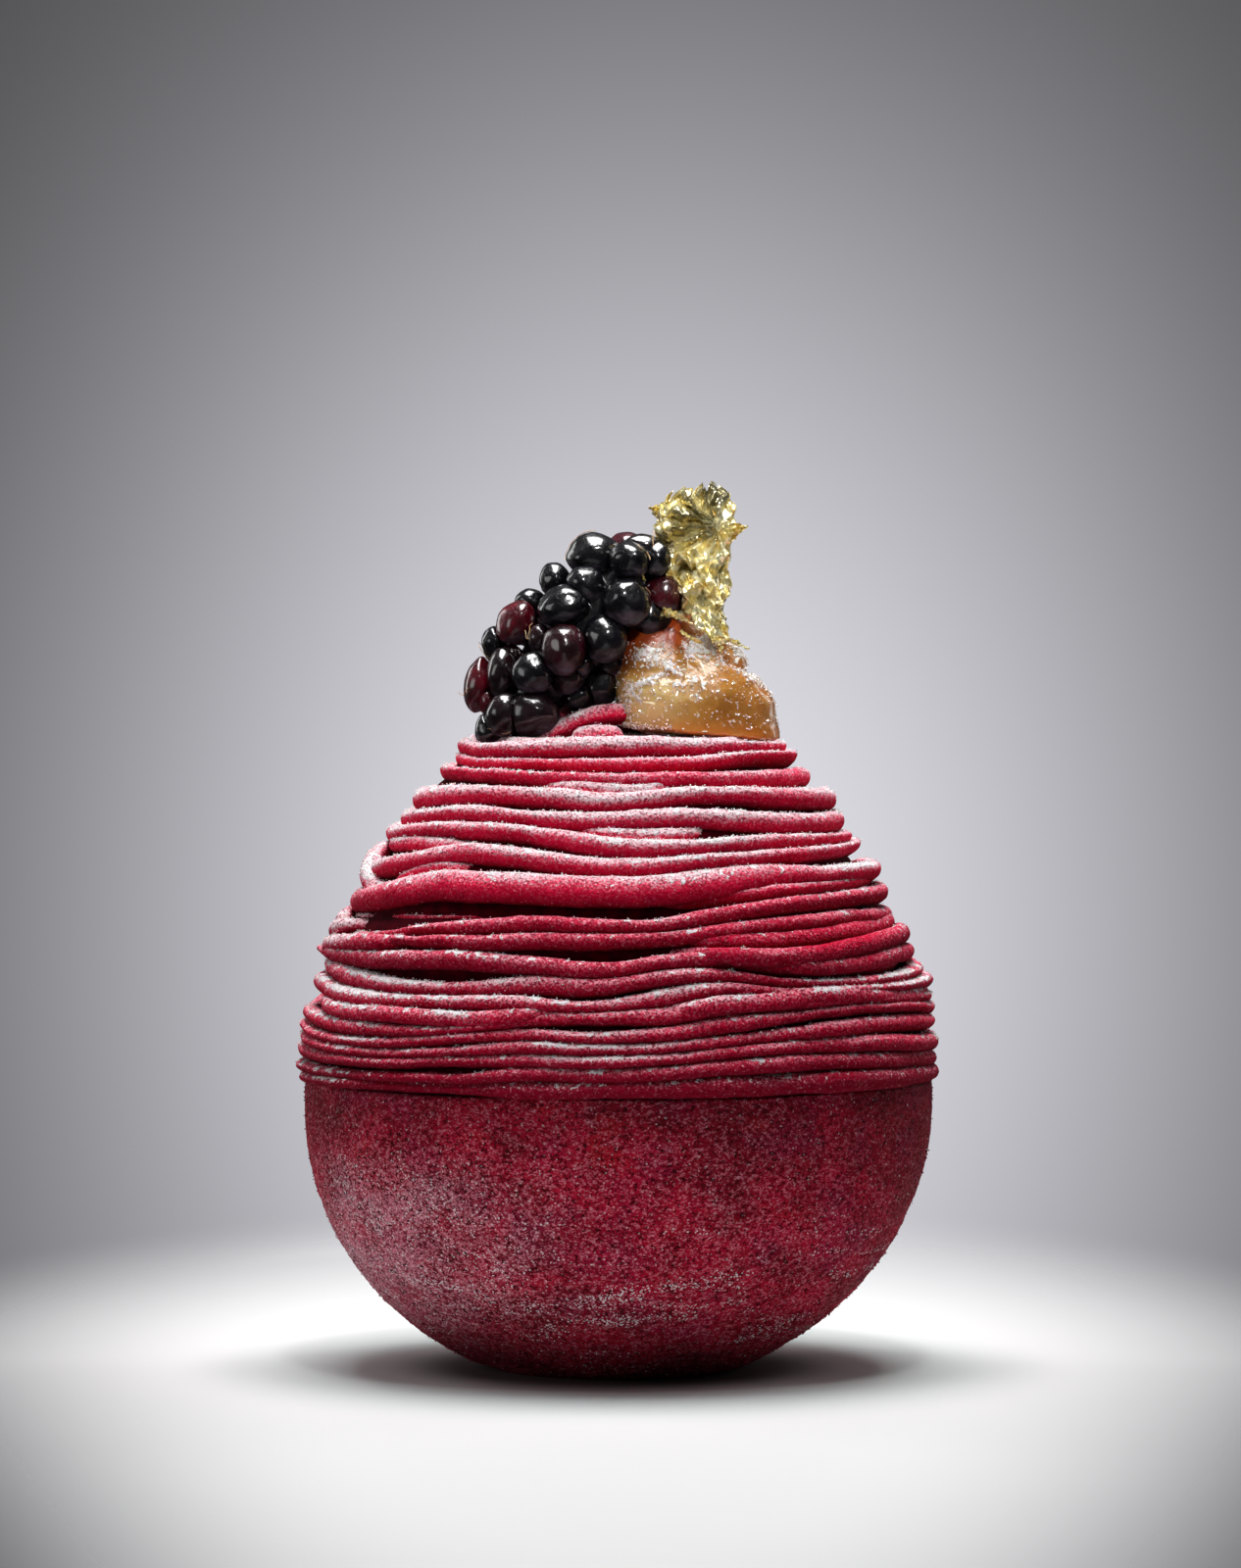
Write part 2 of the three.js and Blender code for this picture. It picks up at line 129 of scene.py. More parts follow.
def smooth(value, none, full):
    """0 up to one level, 1 from another on, which may be the lower one, and an even change between."""
    t = np.clip((value - none) / (full - none), 0, 1)
    return t * t * (3 - 2 * t)


def bell(distance, reach):
    """1 at no distance, falling off softly over the reach."""
    return np.exp(-((distance / reach) ** 2))


def turn_between(a, b):
    """Signed difference of two azimuths, from -180 to 180."""
    return (a - b + 180) % 360 - 180


def unit(vectors):
    """Vectors brought to a length of 1."""
    return vectors / np.linalg.norm(vectors, axis=-1, keepdims=True)


def around(azimuth, radius, height):
    """Points at azimuths, radii and heights."""
    turn = np.radians(azimuth)
    return np.stack(np.broadcast_arrays(radius * np.sin(turn), -radius * np.cos(turn), height), axis=-1)


def azimuth_of(points):
    """Azimuths of points, in degrees."""
    return np.degrees(np.arctan2(points[:, 0], -points[:, 1]))


# Meshes

def make_piece(name, vertices, faces, finish, is_smooth=True, **marks):
    """A mesh object of triangles or quads. Each mark is a number at every vertex that its finish can read."""
    mesh = bpy.data.meshes.new(name)
    corners = faces.shape[1]
    mesh.vertices.add(len(vertices))
    mesh.vertices.foreach_set("co", (vertices * MM).astype(np.float32).ravel())
    mesh.loops.add(faces.size)
    mesh.loops.foreach_set("vertex_index", faces.astype(np.int32).ravel())
    mesh.polygons.add(len(faces))
    mesh.polygons.foreach_set("loop_start", np.arange(0, faces.size, corners, dtype=np.int32))
    mesh.polygons.foreach_set("use_smooth", np.full(len(faces), is_smooth))
    mesh.update(calc_edges=True)
    mesh.validate()
    piece = bpy.data.objects.new(name, mesh)
    for mark, values in marks.items():
        set_mark(piece, mark, values)
    bpy.context.scene.collection.objects.link(piece)
    mesh.materials.append(finish)
    return piece


def set_mark(piece, mark, values):
    attribute = piece.data.attributes.new(mark, "FLOAT", "POINT")
    attribute.data.foreach_set("value", np.asarray(values, dtype=np.float32))


def vertices_of(piece):
    """A piece's points in millimetres and its vertex normals."""
    mesh = piece.data
    points = np.empty(len(mesh.vertices) * 3, np.float32)
    mesh.vertices.foreach_get("co", points)
    normals = np.empty(len(mesh.vertices) * 3, np.float32)
    mesh.vertex_normals.foreach_get("vector", normals)
    return points.reshape(-1, 3).astype(float) / MM, normals.reshape(-1, 3).astype(float)


def grid_faces(rows, columns, closed_rows, closed_columns):
    """Triangles of a grid whose points are numbered row by row."""
    row = np.arange(rows if closed_rows else rows - 1)
    column = np.arange(columns if closed_columns else columns - 1)
    a, b = np.meshgrid(row, column, indexing="ij")
    c, d = (a + 1) % rows, (b + 1) % columns
    first = np.stack([a * columns + b, c * columns + b, c * columns + d], axis=-1)
    second = np.stack([a * columns + b, c * columns + d, a * columns + d], axis=-1)
    return np.concatenate([first.reshape(-1, 3), second.reshape(-1, 3)])


def fan(hub, ring, is_flipped):
    """Triangles from a hub's number to a closed ring of numbers."""
    following = np.roll(ring, -1)
    hubs = np.full(len(ring), hub)
    return np.stack([hubs, following, ring] if is_flipped else [hubs, ring, following], axis=-1)


def joined(parts):
    """One list of points and one of faces from several."""
    start = 0
    vertices, faces = [], []
    for points, corners in parts:
        vertices.append(points)
        faces.append(corners + start)
        start += len(points)
    return np.concatenate(vertices), np.concatenate(faces)


def spun(profile, rounds):
    """A closed body spun from a profile of radii and heights that starts and ends on the axis."""
    wall = profile[1:-1]
    turns = np.arange(rounds) * 360 / rounds
    ring_points = around(turns[None, :], wall[:, :1], wall[:, 1:])
    count = ring_points.shape[0] * rounds
    vertices = np.concatenate([ring_points.reshape(-1, 3), [[0, 0, profile[0, 1]], [0, 0, profile[-1, 1]]]])
    ring = np.arange(rounds)
    faces = grid_faces(len(wall), rounds, False, True)[:, ::-1]
    floor = fan(count, ring, True)
    top = fan(count + 1, ring + count - rounds, False)
    return vertices, np.concatenate([faces, floor, top])


# Round strands

OUTER_SIDES = np.radians(np.linspace(-118, 118, 17))
INNER_SIDES = np.radians([150, 180, 210])
SECTION = np.concatenate([OUTER_SIDES, INNER_SIDES])
ROUND_SECTION = np.radians(np.arange(0, 360, 20))
HAIR_SECTION = np.radians([0, 90, 180, 270])
BLUNT_END = 0.12                 # where the rounding of an end starts, as a share of the strand's half width
ROW_GRAIN = 3.1                  # how far apart the grains of a row and the next are taken
STRAY_GRAIN = 2.3                # and of loose strands


def strand(path, outward, thickness, shift, is_closed, section=SECTION, grain=STRAND_GRAIN, deep=None):
    """A strand of cream along a path. Outward says which way its finer side faces. Thickness is how tall it
    is, and deep is how deep, the same where it isn't given. The shift gives it a grain of its own."""
    if is_closed:
        tangent = unit(np.roll(path, -1, axis=0) - np.roll(path, 1, axis=0))
    else:
        tangent = unit(np.gradient(path, axis=0))
    out = unit(outward - np.sum(outward * tangent, axis=1, keepdims=True) * tangent)
    up = np.cross(out, tangent)
    half = np.broadcast_to(np.asarray(thickness) / 2, len(path)).copy()
    half_deep = half.copy() if deep is None else np.broadcast_to(np.asarray(deep) / 2, len(path)).copy()
    half_deep *= 1 + 0.06 * noise(path, 4.0, shift)
    if not is_closed:
        run = np.linalg.norm(np.diff(path, axis=0), axis=1).cumsum()
        along = np.concatenate([[0], run])
        to_end = np.minimum(along, along[-1] - along)
        reach = np.clip(to_end / half, BLUNT_END, 1)
        rounding = np.sqrt(1 - (1 - reach) ** 2)
        half, half_deep = half * rounding, half_deep * rounding
    direction = np.cos(section)[None, :, None] * out[:, None] + np.sin(section)[None, :, None] * up[:, None]
    points = path[:, None] + half_deep[:, None, None] * np.cos(section)[None, :, None] * out[:, None]
    points = points + half[:, None, None] * np.sin(section)[None, :, None] * up[:, None]
    depth = grain * (0.6 * noise(points, 0.5, shift) + 1.0 * noise(points, 1.3, shift + 5))
    points = points + depth[..., None] * direction
    sides = len(section)
    faces = grid_faces(len(path), sides, is_closed, True)
    points = points.reshape(-1, 3)
    if not is_closed:
        points = np.concatenate([points, path[:1], path[-1:]])
        ring = np.arange(sides)
        count = len(path) * sides
        faces = np.concatenate([faces, fan(count, ring, True), fan(count + 1, ring + count - sides, False)])
    return points, faces


# Wound cream: in front the strands lie as in the photograph, and behind they follow the rule of their solid

# A swell that lifts the rows and pushes them in or out: its azimuth and height, and how far it reaches
Swell = namedtuple("Swell", "at height across up lift push")


def back_swells():
    """Swells drawn at random over the side that the photograph doesn't show."""
    draw = seeded_random(29)
    swells = []
    for i in range(16):
        at = 100 + 10.5 * i + draw(-6, 6)
        height = draw(37, 66)
        across = draw(11, 26)
        up = draw(2.2, 4.2)
        lift = draw(0.5, 1.5) * (-1 if draw() < 0.5 else 1)
        swells.append(Swell(at, height, across, up, lift, draw(-0.9, 0.6)))
    return swells


SWELLS = back_swells()


def swell_sum(azimuth, height, kind):
    """What the swells add up to at a place, for their lift or for their push."""
    return sum(getattr(swell, kind) * bell(turn_between(azimuth, swell.at), swell.across)
               * bell(height - swell.height, swell.up) for swell in SWELLS)


def dome_radius(height):
    rise = np.clip((height - DOME_BASE) / DOME_RISE, 0, 0.999)
    return DOME_RADIUS * (1 - rise ** DOME_POWER) ** (1 / DOME_POWER)


def dome_outward(azimuth, height):
    """Directions square to the dome."""
    slope = dome_radius(height - 0.5) - dome_radius(height + 0.5)
    return unit(around(azimuth, 1.0, slope))


def waver(azimuth, draw, amount):
    """One strand's own unevenness round the turn."""
    phases = [(turns, draw(0, 2 * math.pi)) for turns in (2, 3, 5, 8)]
    return amount / 2 * sum(np.sin(turns * np.radians(azimuth) + phase) for turns, phase in phases)


def eased(value, knots, levels):
    """A smooth run through levels at knots, level beyond the last ones."""
    knots, levels = np.asarray(knots, float), np.asarray(levels, float)
    slopes = np.gradient(levels, knots)
    value = np.clip(value, knots[0], knots[-1])
    span = np.clip(np.searchsorted(knots, value, "right") - 1, 0, len(knots) - 2)
    wide = knots[span + 1] - knots[span]
    t = (value - knots[span]) / wide
    rise = levels[span + 1] - levels[span]
    start, end = slopes[span] * wide, slopes[span + 1] * wide
    bend, twist = 3 * rise - 2 * start - end, start + end - 2 * rise
    return levels[span] + t * start + t ** 2 * bend + t ** 3 * twist


# Each row from the rim up: its height behind, its heights in front at the knots of azimuth, its thickness and
# how far it stands out from the dome at the left and at the right of the view
FRONT_KNOTS = [-84, -60, -44, -30, -16, -4, 8, 20, 34, 52, 90]
FRONT_END, BACK_START = 96, 124  # azimuths between which the front gives way to the back
WoundRow = namedtuple("WoundRow", "behind front thickness left right")
WOUND_ROWS = [
    WoundRow(33.90, [32.6, 33.0, 33.2, 33.3, 33.3, 33.4, 33.5, 33.6, 33.7, 33.6, 33.0], 2.5, 0.0, 0.5),
    WoundRow(35.66, [33.8, 34.0, 34.2, 34.4, 35.1, 35.0, 35.2, 35.7, 36.0, 35.6, 34.6], 2.0, 0.3, 0.2),
    WoundRow(37.42, [35.5, 35.5, 35.7, 36.2, 36.5, 36.4, 36.7, 37.2, 37.6, 37.5, 36.3], 2.0, 0.4, 0.7),
    WoundRow(39.18, [36.9, 36.5, 36.6, 37.2, 37.9, 37.7, 37.9, 38.5, 39.0, 39.4, 38.6], 2.0, 0.3, 0.5),
    WoundRow(40.94, [38.1, 37.5, 37.8, 38.6, 39.2, 39.0, 39.3, 40.2, 40.8, 41.2, 40.0], 2.0, 0.5, 0.9),
    WoundRow(42.70, [39.6, 39.1, 39.1, 39.5, 40.8, 41.1, 41.2, 42.0, 42.0, 42.0, 41.3], 2.1, 0.4, 0.9),
    WoundRow(44.46, [43.0, 42.2, 42.2, 42.4, 42.4, 42.2, 43.1, 44.0, 43.4, 43.2, 43.0], 2.2, 0.1, 1.5),
    WoundRow(46.22, [44.9, 44.1, 43.7, 43.9, 44.5, 44.3, 45.2, 45.4, 44.4, 44.0, 44.4], 2.3, -0.5, 0.9),
    WoundRow(47.98, [46.4, 46.5, 46.8, 46.9, 46.5, 46.0, 46.8, 47.2, 46.1, 45.3, 45.6], 2.2, 0.3, -0.4),
    WoundRow(49.74, [48.6, 48.4, 48.6, 48.8, 49.2, 49.1, 49.4, 49.9, 50.4, 50.8, 50.3], 2.0, -0.4, -0.1),
    WoundRow(51.50, [48.9, 48.7, 49.8, 50.4, 50.9, 50.7, 50.7, 51.6, 52.4, 52.8, 52.9], 2.0, -0.4, 0.6),
    WoundRow(52.80, [50.0, 50.5, 50.9, 51.1, 51.6, 52.2, 52.6, 53.1, 53.9, 54.2, 54.4], 2.0, -1.0, 0.1),
    WoundRow(54.40, [52.0, 53.5, 54.7, 54.8, 54.7, 54.5, 54.6, 55.1, 55.7, 55.6, 55.4], 3.7, -0.6, 1.2),
    WoundRow(56.70, [55.5, 56.8, 58.0, 58.0, 57.4, 56.9, 56.9, 57.3, 57.6, 57.8, 58.0], 2.5, -0.3, 0.7),
    WoundRow(58.90, [59.2, 60.2, 60.5, 60.5, 59.9, 59.2, 58.9, 58.9, 59.2, 59.2, 58.8], 2.5, -0.1, 0.1),
    WoundRow(61.10, [60.9, 61.8, 62.3, 62.0, 61.7, 61.7, 62.0, 62.1, 61.7, 61.2, 60.8], 2.5, -0.3, 0.4),
    WoundRow(63.30, [63.2, 64.1, 64.3, 64.3, 64.1, 63.7, 63.9, 64.3, 64.3, 64.0, 63.2], 2.6, 0.0, 1.3),
    WoundRow(65.50, [66.1, 66.2, 66.2, 66.1, 66.1, 65.9, 66.0, 66.1, 65.9, 65.8, 65.6], 2.3, -0.6, 0.4),
    WoundRow(67.70, [67.4, 67.3, 67.4, 67.4, 67.4, 67.4, 67.5, 67.5, 67.8, 68.0, 67.7], 2.0, -1.0, 1.3),
    WoundRow(69.90, [68.8, 68.8, 69.0, 69.2, 69.5, 69.6, 69.6, 69.5, 69.3, 69.1, 68.6], 2.7, 0.1, 1.3),
]

# Where a row lies deeper than its neighbours or stands proud: its number, the middle azimuth, reach and push
PushedPart = namedtuple("PushedPart", "row at across push")
PUSHED_PARTS = [
    PushedPart(11, -58, 30, -1.8),
    PushedPart(9, -84, 18, -1.5),
    PushedPart(11, -6, 24, -2.8),
    PushedPart(18, -30, 44, -0.9),
    PushedPart(10, -76, 24, -2.0),
    PushedPart(8, 70, 30, -0.6),
    PushedPart(7, -30, 30, -0.4),
    PushedPart(12, -4, 70, 0.4),
]

ROW_DEEP = 2.7                   # how deep a wound strand is
ROW_OVERLAP = 1.22               # how far rows reach into each other's room
ROW_SETTLE = 20                  # steps to each side over which a row evens out its room
LEAST_TALL = 1.3
SUNK_ROW = 11                    # it lies in the shade under the wide row, which thins towards its ends
WIDE_ROW = 12
SIDE = 92                        # azimuth of the outline to each side, seen from the front
SIDE_REACH = 34


def row_heights(number, azimuth):
    """The heights of a row's middle round the turn."""
    row = WOUND_ROWS[number]
    draw = seeded_random(5 + number)
    clear_of_rim = np.clip((row.behind - SHELL_RIM) / 4, 0, 1)
    lift = clear_of_rim * swell_sum(azimuth, row.behind, "lift") + waver(azimuth, draw, 0.16)
    behind = row.behind + lift
    is_front = smooth(np.abs(azimuth), BACK_START, FRONT_END)
    height = behind + (eased(azimuth, FRONT_KNOTS, row.front) - behind) * is_front
    on_circle = around(azimuth, dome_radius(row.behind), 0.0)
    return height + 0.08 * noise(on_circle, 4.0, ROW_GRAIN * number)


def neighbours(number):
    """The numbers of the rows next to a row, looking past the sunk one."""
    near = [i for i in (number - 2, number - 1, number + 1, number + 2) if 0 <= i < len(WOUND_ROWS)]
    return [i for i in near if i != SUNK_ROW and (abs(i - number) == 1 or SUNK_ROW == (i + number) / 2)]


def row_strand(number, row):
    """A wound row, as tall as its neighbours leave room for."""
    steps = int(360 / STRAND_STEP * math.radians(dome_radius(row.behind)))
    azimuth = np.arange(steps) * 360 / steps - 180
    height = row_heights(number, azimuth)
    room = np.min([np.abs(row_heights(i, azimuth) - height) for i in neighbours(number)], axis=0)
    window = 2 * ROW_SETTLE + 1
    room = np.concatenate([room[-ROW_SETTLE:], room, room[:ROW_SETTLE]])
    room = np.convolve(room, np.ones(window) / window, "valid")
    tall = np.clip(room * ROW_OVERLAP, LEAST_TALL, row.thickness)
    if number == WIDE_ROW:
        tall = row.thickness - 1.5 * smooth(azimuth, 20, 60) - 0.8 * smooth(azimuth, -50, -84)
    on_circle = around(azimuth, dome_radius(row.behind), 0.0)
    outside = dome_radius(height) + swell_sum(azimuth, row.behind, "push")
    outside = outside + row.left * bell(turn_between(azimuth, -SIDE), SIDE_REACH)
    outside = outside + row.right * bell(turn_between(azimuth, SIDE), SIDE_REACH)
    for part in PUSHED_PARTS:
        if part.row == number:
            outside = outside + part.push * bell(turn_between(azimuth, part.at), part.across)
    outside = outside + 0.24 * noise(on_circle, 6.0, ROW_GRAIN * number + 4) - 0.1
    path = around(azimuth, outside - ROW_DEEP / 2, height)
    return strand(path, dome_outward(azimuth, height), tall, ROW_GRAIN * number, True, deep=ROW_DEEP)


# Loose strands that cross the rows: knots of azimuth and height, thickness, and how far each stands out from
# the dome
Stray = namedtuple("Stray", "knots thickness over")
STRAYS = [
    Stray([(-25, 65.4), (-9, 65.3), (6, 65.0), (19, 65.9)], 1.8, -0.4),
    Stray([(-12, 60.9), (3, 60.3), (15, 60.4), (24, 60.6)], 1.8, -0.5),
    Stray([(-88, 58.2), (-60, 58.9), (-41, 58.9)], 1.8, -0.7),
    Stray([(-66, 54.2), (-60, 55.2), (-51, 56.4), (-36, 56.6)], 1.6, -0.8),
    Stray([(16, 47.9), (32, 47.3), (42, 47.4), (54, 47.9), (66, 48.3), (96, 48.6)], 2.2, 0.9),
    Stray([(14, 49.1), (30, 48.9), (48, 49.2), (64, 49.6), (96, 49.8)], 2.3, -0.2),
    Stray([(32, 46.3), (43, 46.1), (55, 46.1), (68, 46.5), (98, 46.3)], 1.9, 0.5),
    Stray([(50, 44.3), (66, 43.9), (80, 44.3), (94, 45.4)], 1.7, 0.1),
    Stray([(9, 41.7), (20, 42.5), (28, 42.6), (37, 42.9), (47, 43.0), (59, 42.5), (74, 41.9), (96, 42.6)],
          2.1, 0.5),
    Stray([(-76, 41.4), (-65, 40.8), (-45, 40.9), (-36, 40.8), (-27, 40.8), (-20, 41.2), (-12, 41.9)],
          1.9, 0.3),
    Stray([(-112, 44.6), (-96, 46.4), (-80, 47.4), (-66, 48.0), (-50, 48.6)], 2.2, 0.5),
    Stray([(128, 39.0), (162, 42.0), (196, 43.2)], 2.2, 0.4),
    Stray([(150, 57.2), (182, 56.0), (214, 53.4)], 2.2, 0.4),
    Stray([(222, 46.4), (254, 47.6), (286, 49.8)], 2.2, 0.4),
    Stray([(96, 62.0), (128, 61.0), (160, 59.2)], 2.2, 0.4),
]
STRAY_TUCK = 2.0                 # how deep the ends of a stray strand dive
STRAY_DIVE = 7.0                 # and over what length


def stray_strand(stray, shift):
    azimuths, heights = zip(*stray.knots)
    length = math.radians(azimuths[-1] - azimuths[0]) * dome_radius(heights[0])
    spare = STRAY_DIVE / 2 / length
    t = np.linspace(-spare, 1 + spare, int(length * (1 + 2 * spare) / STRAND_STEP))
    azimuth = azimuths[0] + (azimuths[-1] - azimuths[0]) * t
    height = eased(azimuth, azimuths, heights)
    to_end = np.minimum(t + spare, 1 + spare - t) * length
    tall = stray.thickness * (0.5 + 0.5 * smooth(to_end, 0, STRAY_DIVE * 1.4))
    tuck = STRAY_TUCK * smooth(to_end, STRAY_DIVE, 0)
    radius = dome_radius(height) + stray.over - tuck - stray.thickness / 2
    path = around(azimuth, radius, height)
    return strand(path, dome_outward(azimuth, height), tall, shift, False)


# Loops that stand out at the left, each as places across, behind and up
LOOP_STRAND = 2.5
LOOPS = [
    ([-25.0, -10.0, 46.2], [-28.2, -8.0, 46.4], [-30.2, -5.0, 47.6], [-29.9, -2.0, 50.0], [-27.6, 1.0, 50.8]),
    ([-24.4, -10.0, 53.4], [-26.4, -7.0, 53.6], [-27.3, -4.0, 55.2], [-26.4, -1.0, 57.0], [-24.4, 3.0, 57.6]),
]


def path_through(knots, t):
    """A smooth path through places, which it passes at whole numbers of t."""
    return np.stack([eased(t, np.arange(len(knots)), knots[:, axis]) for axis in range(3)], axis=1)


def loop_strand(knots, shift):
    """A loop of cream that stands out from the rows."""
    path = path_through(np.array(knots), np.linspace(0, len(knots) - 1, 90))
    return strand(path, around(azimuth_of(path), 1.0, 0.3), LOOP_STRAND, shift, False, ROUND_SECTION)


def strand_tip(shift):
    """The thin end of a strand that points out at the left."""
    t = np.linspace(0, 1, 60)
    path = np.stack([-28.0 - 5.2 * t, -12.0 + 12.0 * t, 45.9 + 0.9 * t ** 3], axis=1)
    tall = 2.1 - 1.5 * t ** 1.5
    return strand(path, around(azimuth_of(path), 1.0, 0.3), tall, shift, False, ROUND_SECTION)


def coil_strand():
    """The strand that spirals over the plateau under the toppings."""
    turns, outer, pitch = 6.1, 14.7, 2.3
    t = np.linspace(0, 1, int(turns * math.pi * outer / STRAND_STEP))
    azimuth = 360 * turns * t
    radius = outer - pitch * turns * t + 0.3 * np.sin(np.radians(3 * azimuth))
    path = around(azimuth, radius, PLATEAU - 0.1)
    return strand(path, np.tile([0.0, 0.0, 1.0], (len(t), 1)), STRAND, 3.0, False)


# Short strands under the fruit, each by its start, a place that it bends towards and its end
NOOK_STRANDS = [
    ([-9.2, -5.0, 69.2], [-4.2, -5.6, 73.2], [1.5, -4.4, 73.0]),
    ([-4.8, -7.8, 70.0], [-2.4, -8.2, 71.4], [0.6, -7.8, 70.2]),
    ([-9.5, -2.0, 70.6], [-5.0, -1.6, 74.8], [2.4, -1.0, 71.6]),
    ([-8.6, 5.4, 69.6], [-2.6, 6.2, 74.0], [3.0, 5.4, 69.8]),
]


def nook_strand(start, middle, end, shift):
    """A short strand that bends from its start towards the middle place and back to its end."""
    start, middle, end = (np.array(point) for point in (start, middle, end))
    length = np.linalg.norm(middle - start) + np.linalg.norm(end - middle)
    t = np.linspace(0, 1, int(length / STRAND_STEP))[:, None]
    path = (1 - t) ** 2 * start + 2 * t * (1 - t) * middle + t ** 2 * end
    return strand(path, np.tile([0.0, -0.6, 0.8], (len(t), 1)), STRAND, shift, False, ROUND_SECTION)


def cream_core(finish):
    """The cream that the strands lie on: an inner winding, seen in the gaps between them."""
    heights = np.linspace(SHELL_RIM + 0.3, PLATEAU, 240)
    inner_rows = 0.5 * np.abs(np.sin(math.pi * (heights - SHELL_RIM) / INNER_PITCH))
    wall = np.stack([dome_radius(heights) - CORE_DEPTH + inner_rows, heights], axis=1)
    profile = np.concatenate([[[0, heights[0]]], wall, [[0, PLATEAU]]])
    vertices, faces = spun(profile, 160)
    wave = 0.5 * noise(vertices, 9.0, 2.0) * smooth(vertices[:, 2], 34, 36) * smooth(vertices[:, 2], 68.5, 67)
    vertices[:, 2] += wave
    return make_piece("cream_core", vertices, faces, finish)


def cream_pieces(finish):
    """All the strands: the rows in five bands, the loose ones, and the coil with the short strands on it."""
    strands = [row_strand(i, row) for i, row in enumerate(WOUND_ROWS)]
    strays = [stray_strand(stray, 70 + STRAY_GRAIN * i) for i, stray in enumerate(STRAYS)]
    strays += [loop_strand(knots, 110 + STRAY_GRAIN * i) for i, knots in enumerate(LOOPS)]
    strays.append(strand_tip(120.0))
    nook = [nook_strand(*points, 90 + STRAY_GRAIN * i) for i, points in enumerate(NOOK_STRANDS)]
    groups = {
        "cream_rows_low": strands[:4],
        "cream_rows_middle": strands[4:8],
        "cream_rows_high": strands[8:12],
        "cream_rows_wide": strands[12:16],
        "cream_rows_top": strands[16:],
        "cream_strays": strays,
        "cream_coil": [coil_strand()] + nook,
    }
    return [make_piece(name, *joined(parts), finish) for name, parts in groups.items()]


# Where the icing sugar has gathered: azimuth, height, how far it reaches across and up, how much of it lies
# in clumps and how much as fine dust
Drift = namedtuple("Drift", "at height across up clumps dust")
DRIFTS = [
    Drift(-60, 43.0, 28, 4.4, 1.22, 0.24),
    Drift(-64, 33.6, 9, 0.9, 1.05, 0.10),
    Drift(-80, 49.2, 11, 2.2, 0.40, 0.90),
    Drift(-82, 55.6, 10, 2.2, 0.40, 0.80),
    Drift(-12, 49.0, 16, 1.8, 0.36, 0.16),
    Drift(-6, 44.2, 34, 2.6, 0.36, 0.46),
    Drift(-4, 38.2, 30, 2.6, 0.34, 0.38),
    Drift(0, 70.0, 70, 1.0, 0.10, 0.38),
    Drift(12, 34.0, 13, 0.9, 0.25, 0.00),
    Drift(28, 35.5, 9, 0.8, 0.45, 0.00),
    Drift(0, 64.4, 34, 2.0, 0.10, 0.50),
    Drift(24, 61.0, 16, 2.0, 0.10, 0.30),
    Drift(72, 56.8, 14, 1.4, 1.40, 0.30),
    Drift(60, 44.8, 16, 1.6, 0.90, 0.30),
    Drift(80, 43.0, 11, 1.8, 1.00, 0.20),
    Drift(86, 36.8, 8, 0.8, 1.00, 0.00),
    Drift(58, 37.2, 8, 0.8, 0.60, 0.00),
    Drift(130, 45.0, 30, 5.0, 0.60, 0.20),
    Drift(205, 41.0, 26, 4.0, 0.60, 0.20),
    Drift(180, 62.0, 60, 4.0, 0.10, 0.30),
]


def icing_on(points, normals):
    """How much icing sugar lies on the cream, from 0 to 1: as a fine veil and as clumps along the crests."""
    azimuth = azimuth_of(points)
    height = points[:, 2]
    out = smooth(np.sum(normals * dome_outward(azimuth, height), axis=1), -0.2, 0.3)
    near = [bell(turn_between(azimuth, drift.at), drift.across) * bell(height - drift.height, drift.up)
            for drift in DRIFTS]
    gathered = sum(drift.clumps * share for drift, share in zip(DRIFTS, near))
    dusted = sum(drift.dust * share for drift, share in zip(DRIFTS, near))
    upper = smooth(height, 49, 57)
    bare = bell(height - 67.3, 1.4)
    wide = bell(height - 54.9, 1.9)
    sheltered = bell(turn_between(azimuth, 46), 24) * bell(height - 49.5, 5.0)
    patches = noise(points * [1, 1, 1.6], 6.0, 11.0)
    crest = np.clip((normals[:, 2] + 0.16 + 0.5 * dusted - 0.36 * wide) / (1.0 - 0.3 * wide), 0, 1)
    lowest = 0.26 * smooth(height, 38, 33)
    low = smooth(height, 52, 49) * (0.18 - 0.10 * smooth(height, 46, 43) + lowest)
    veil = crest * (0.56 + 0.42 * upper + dusted - 0.35 * bare - 0.2 * sheltered - low + 0.3 * patches)
    clusters = noise(points, 0.6, 30.0) + 0.5 * noise(points, 1.5, 31.0)
    clumps = smooth(clusters + gathered + 0.25 * upper + 0.35 * patches - 0.1 * sheltered, 0.42, 0.90)
    return np.clip(veil, 0, 1) * out, clumps * smooth(normals[:, 2], 0.2, 0.8) * out


def mark_cream(strands, surfaces):
    """Marks for the finish: how much icing sugar lies on the strands, and where they face into the gaps, which
    the finish paints as shade.
    """
    for piece, (points, normals) in zip(strands, surfaces):
        out = np.sum(normals * dome_outward(azimuth_of(points), points[:, 2]), axis=1)
        veil, clumps = icing_on(points, normals)
        set_mark(piece, "veil", veil)
        set_mark(piece, "clumps", clumps)
        set_mark(piece, "depth", smooth(out, 0.45, -0.1))


# Meringue shell

def shell_waves():
    """Waves round the shell: how many to a turn, how they lean and where they start."""
    draw = seeded_random(11)
    return [(math.floor(draw(2, 9) + 0.5), draw(-0.35, 0.35), draw(0, 2 * math.pi)) for _ in range(7)]


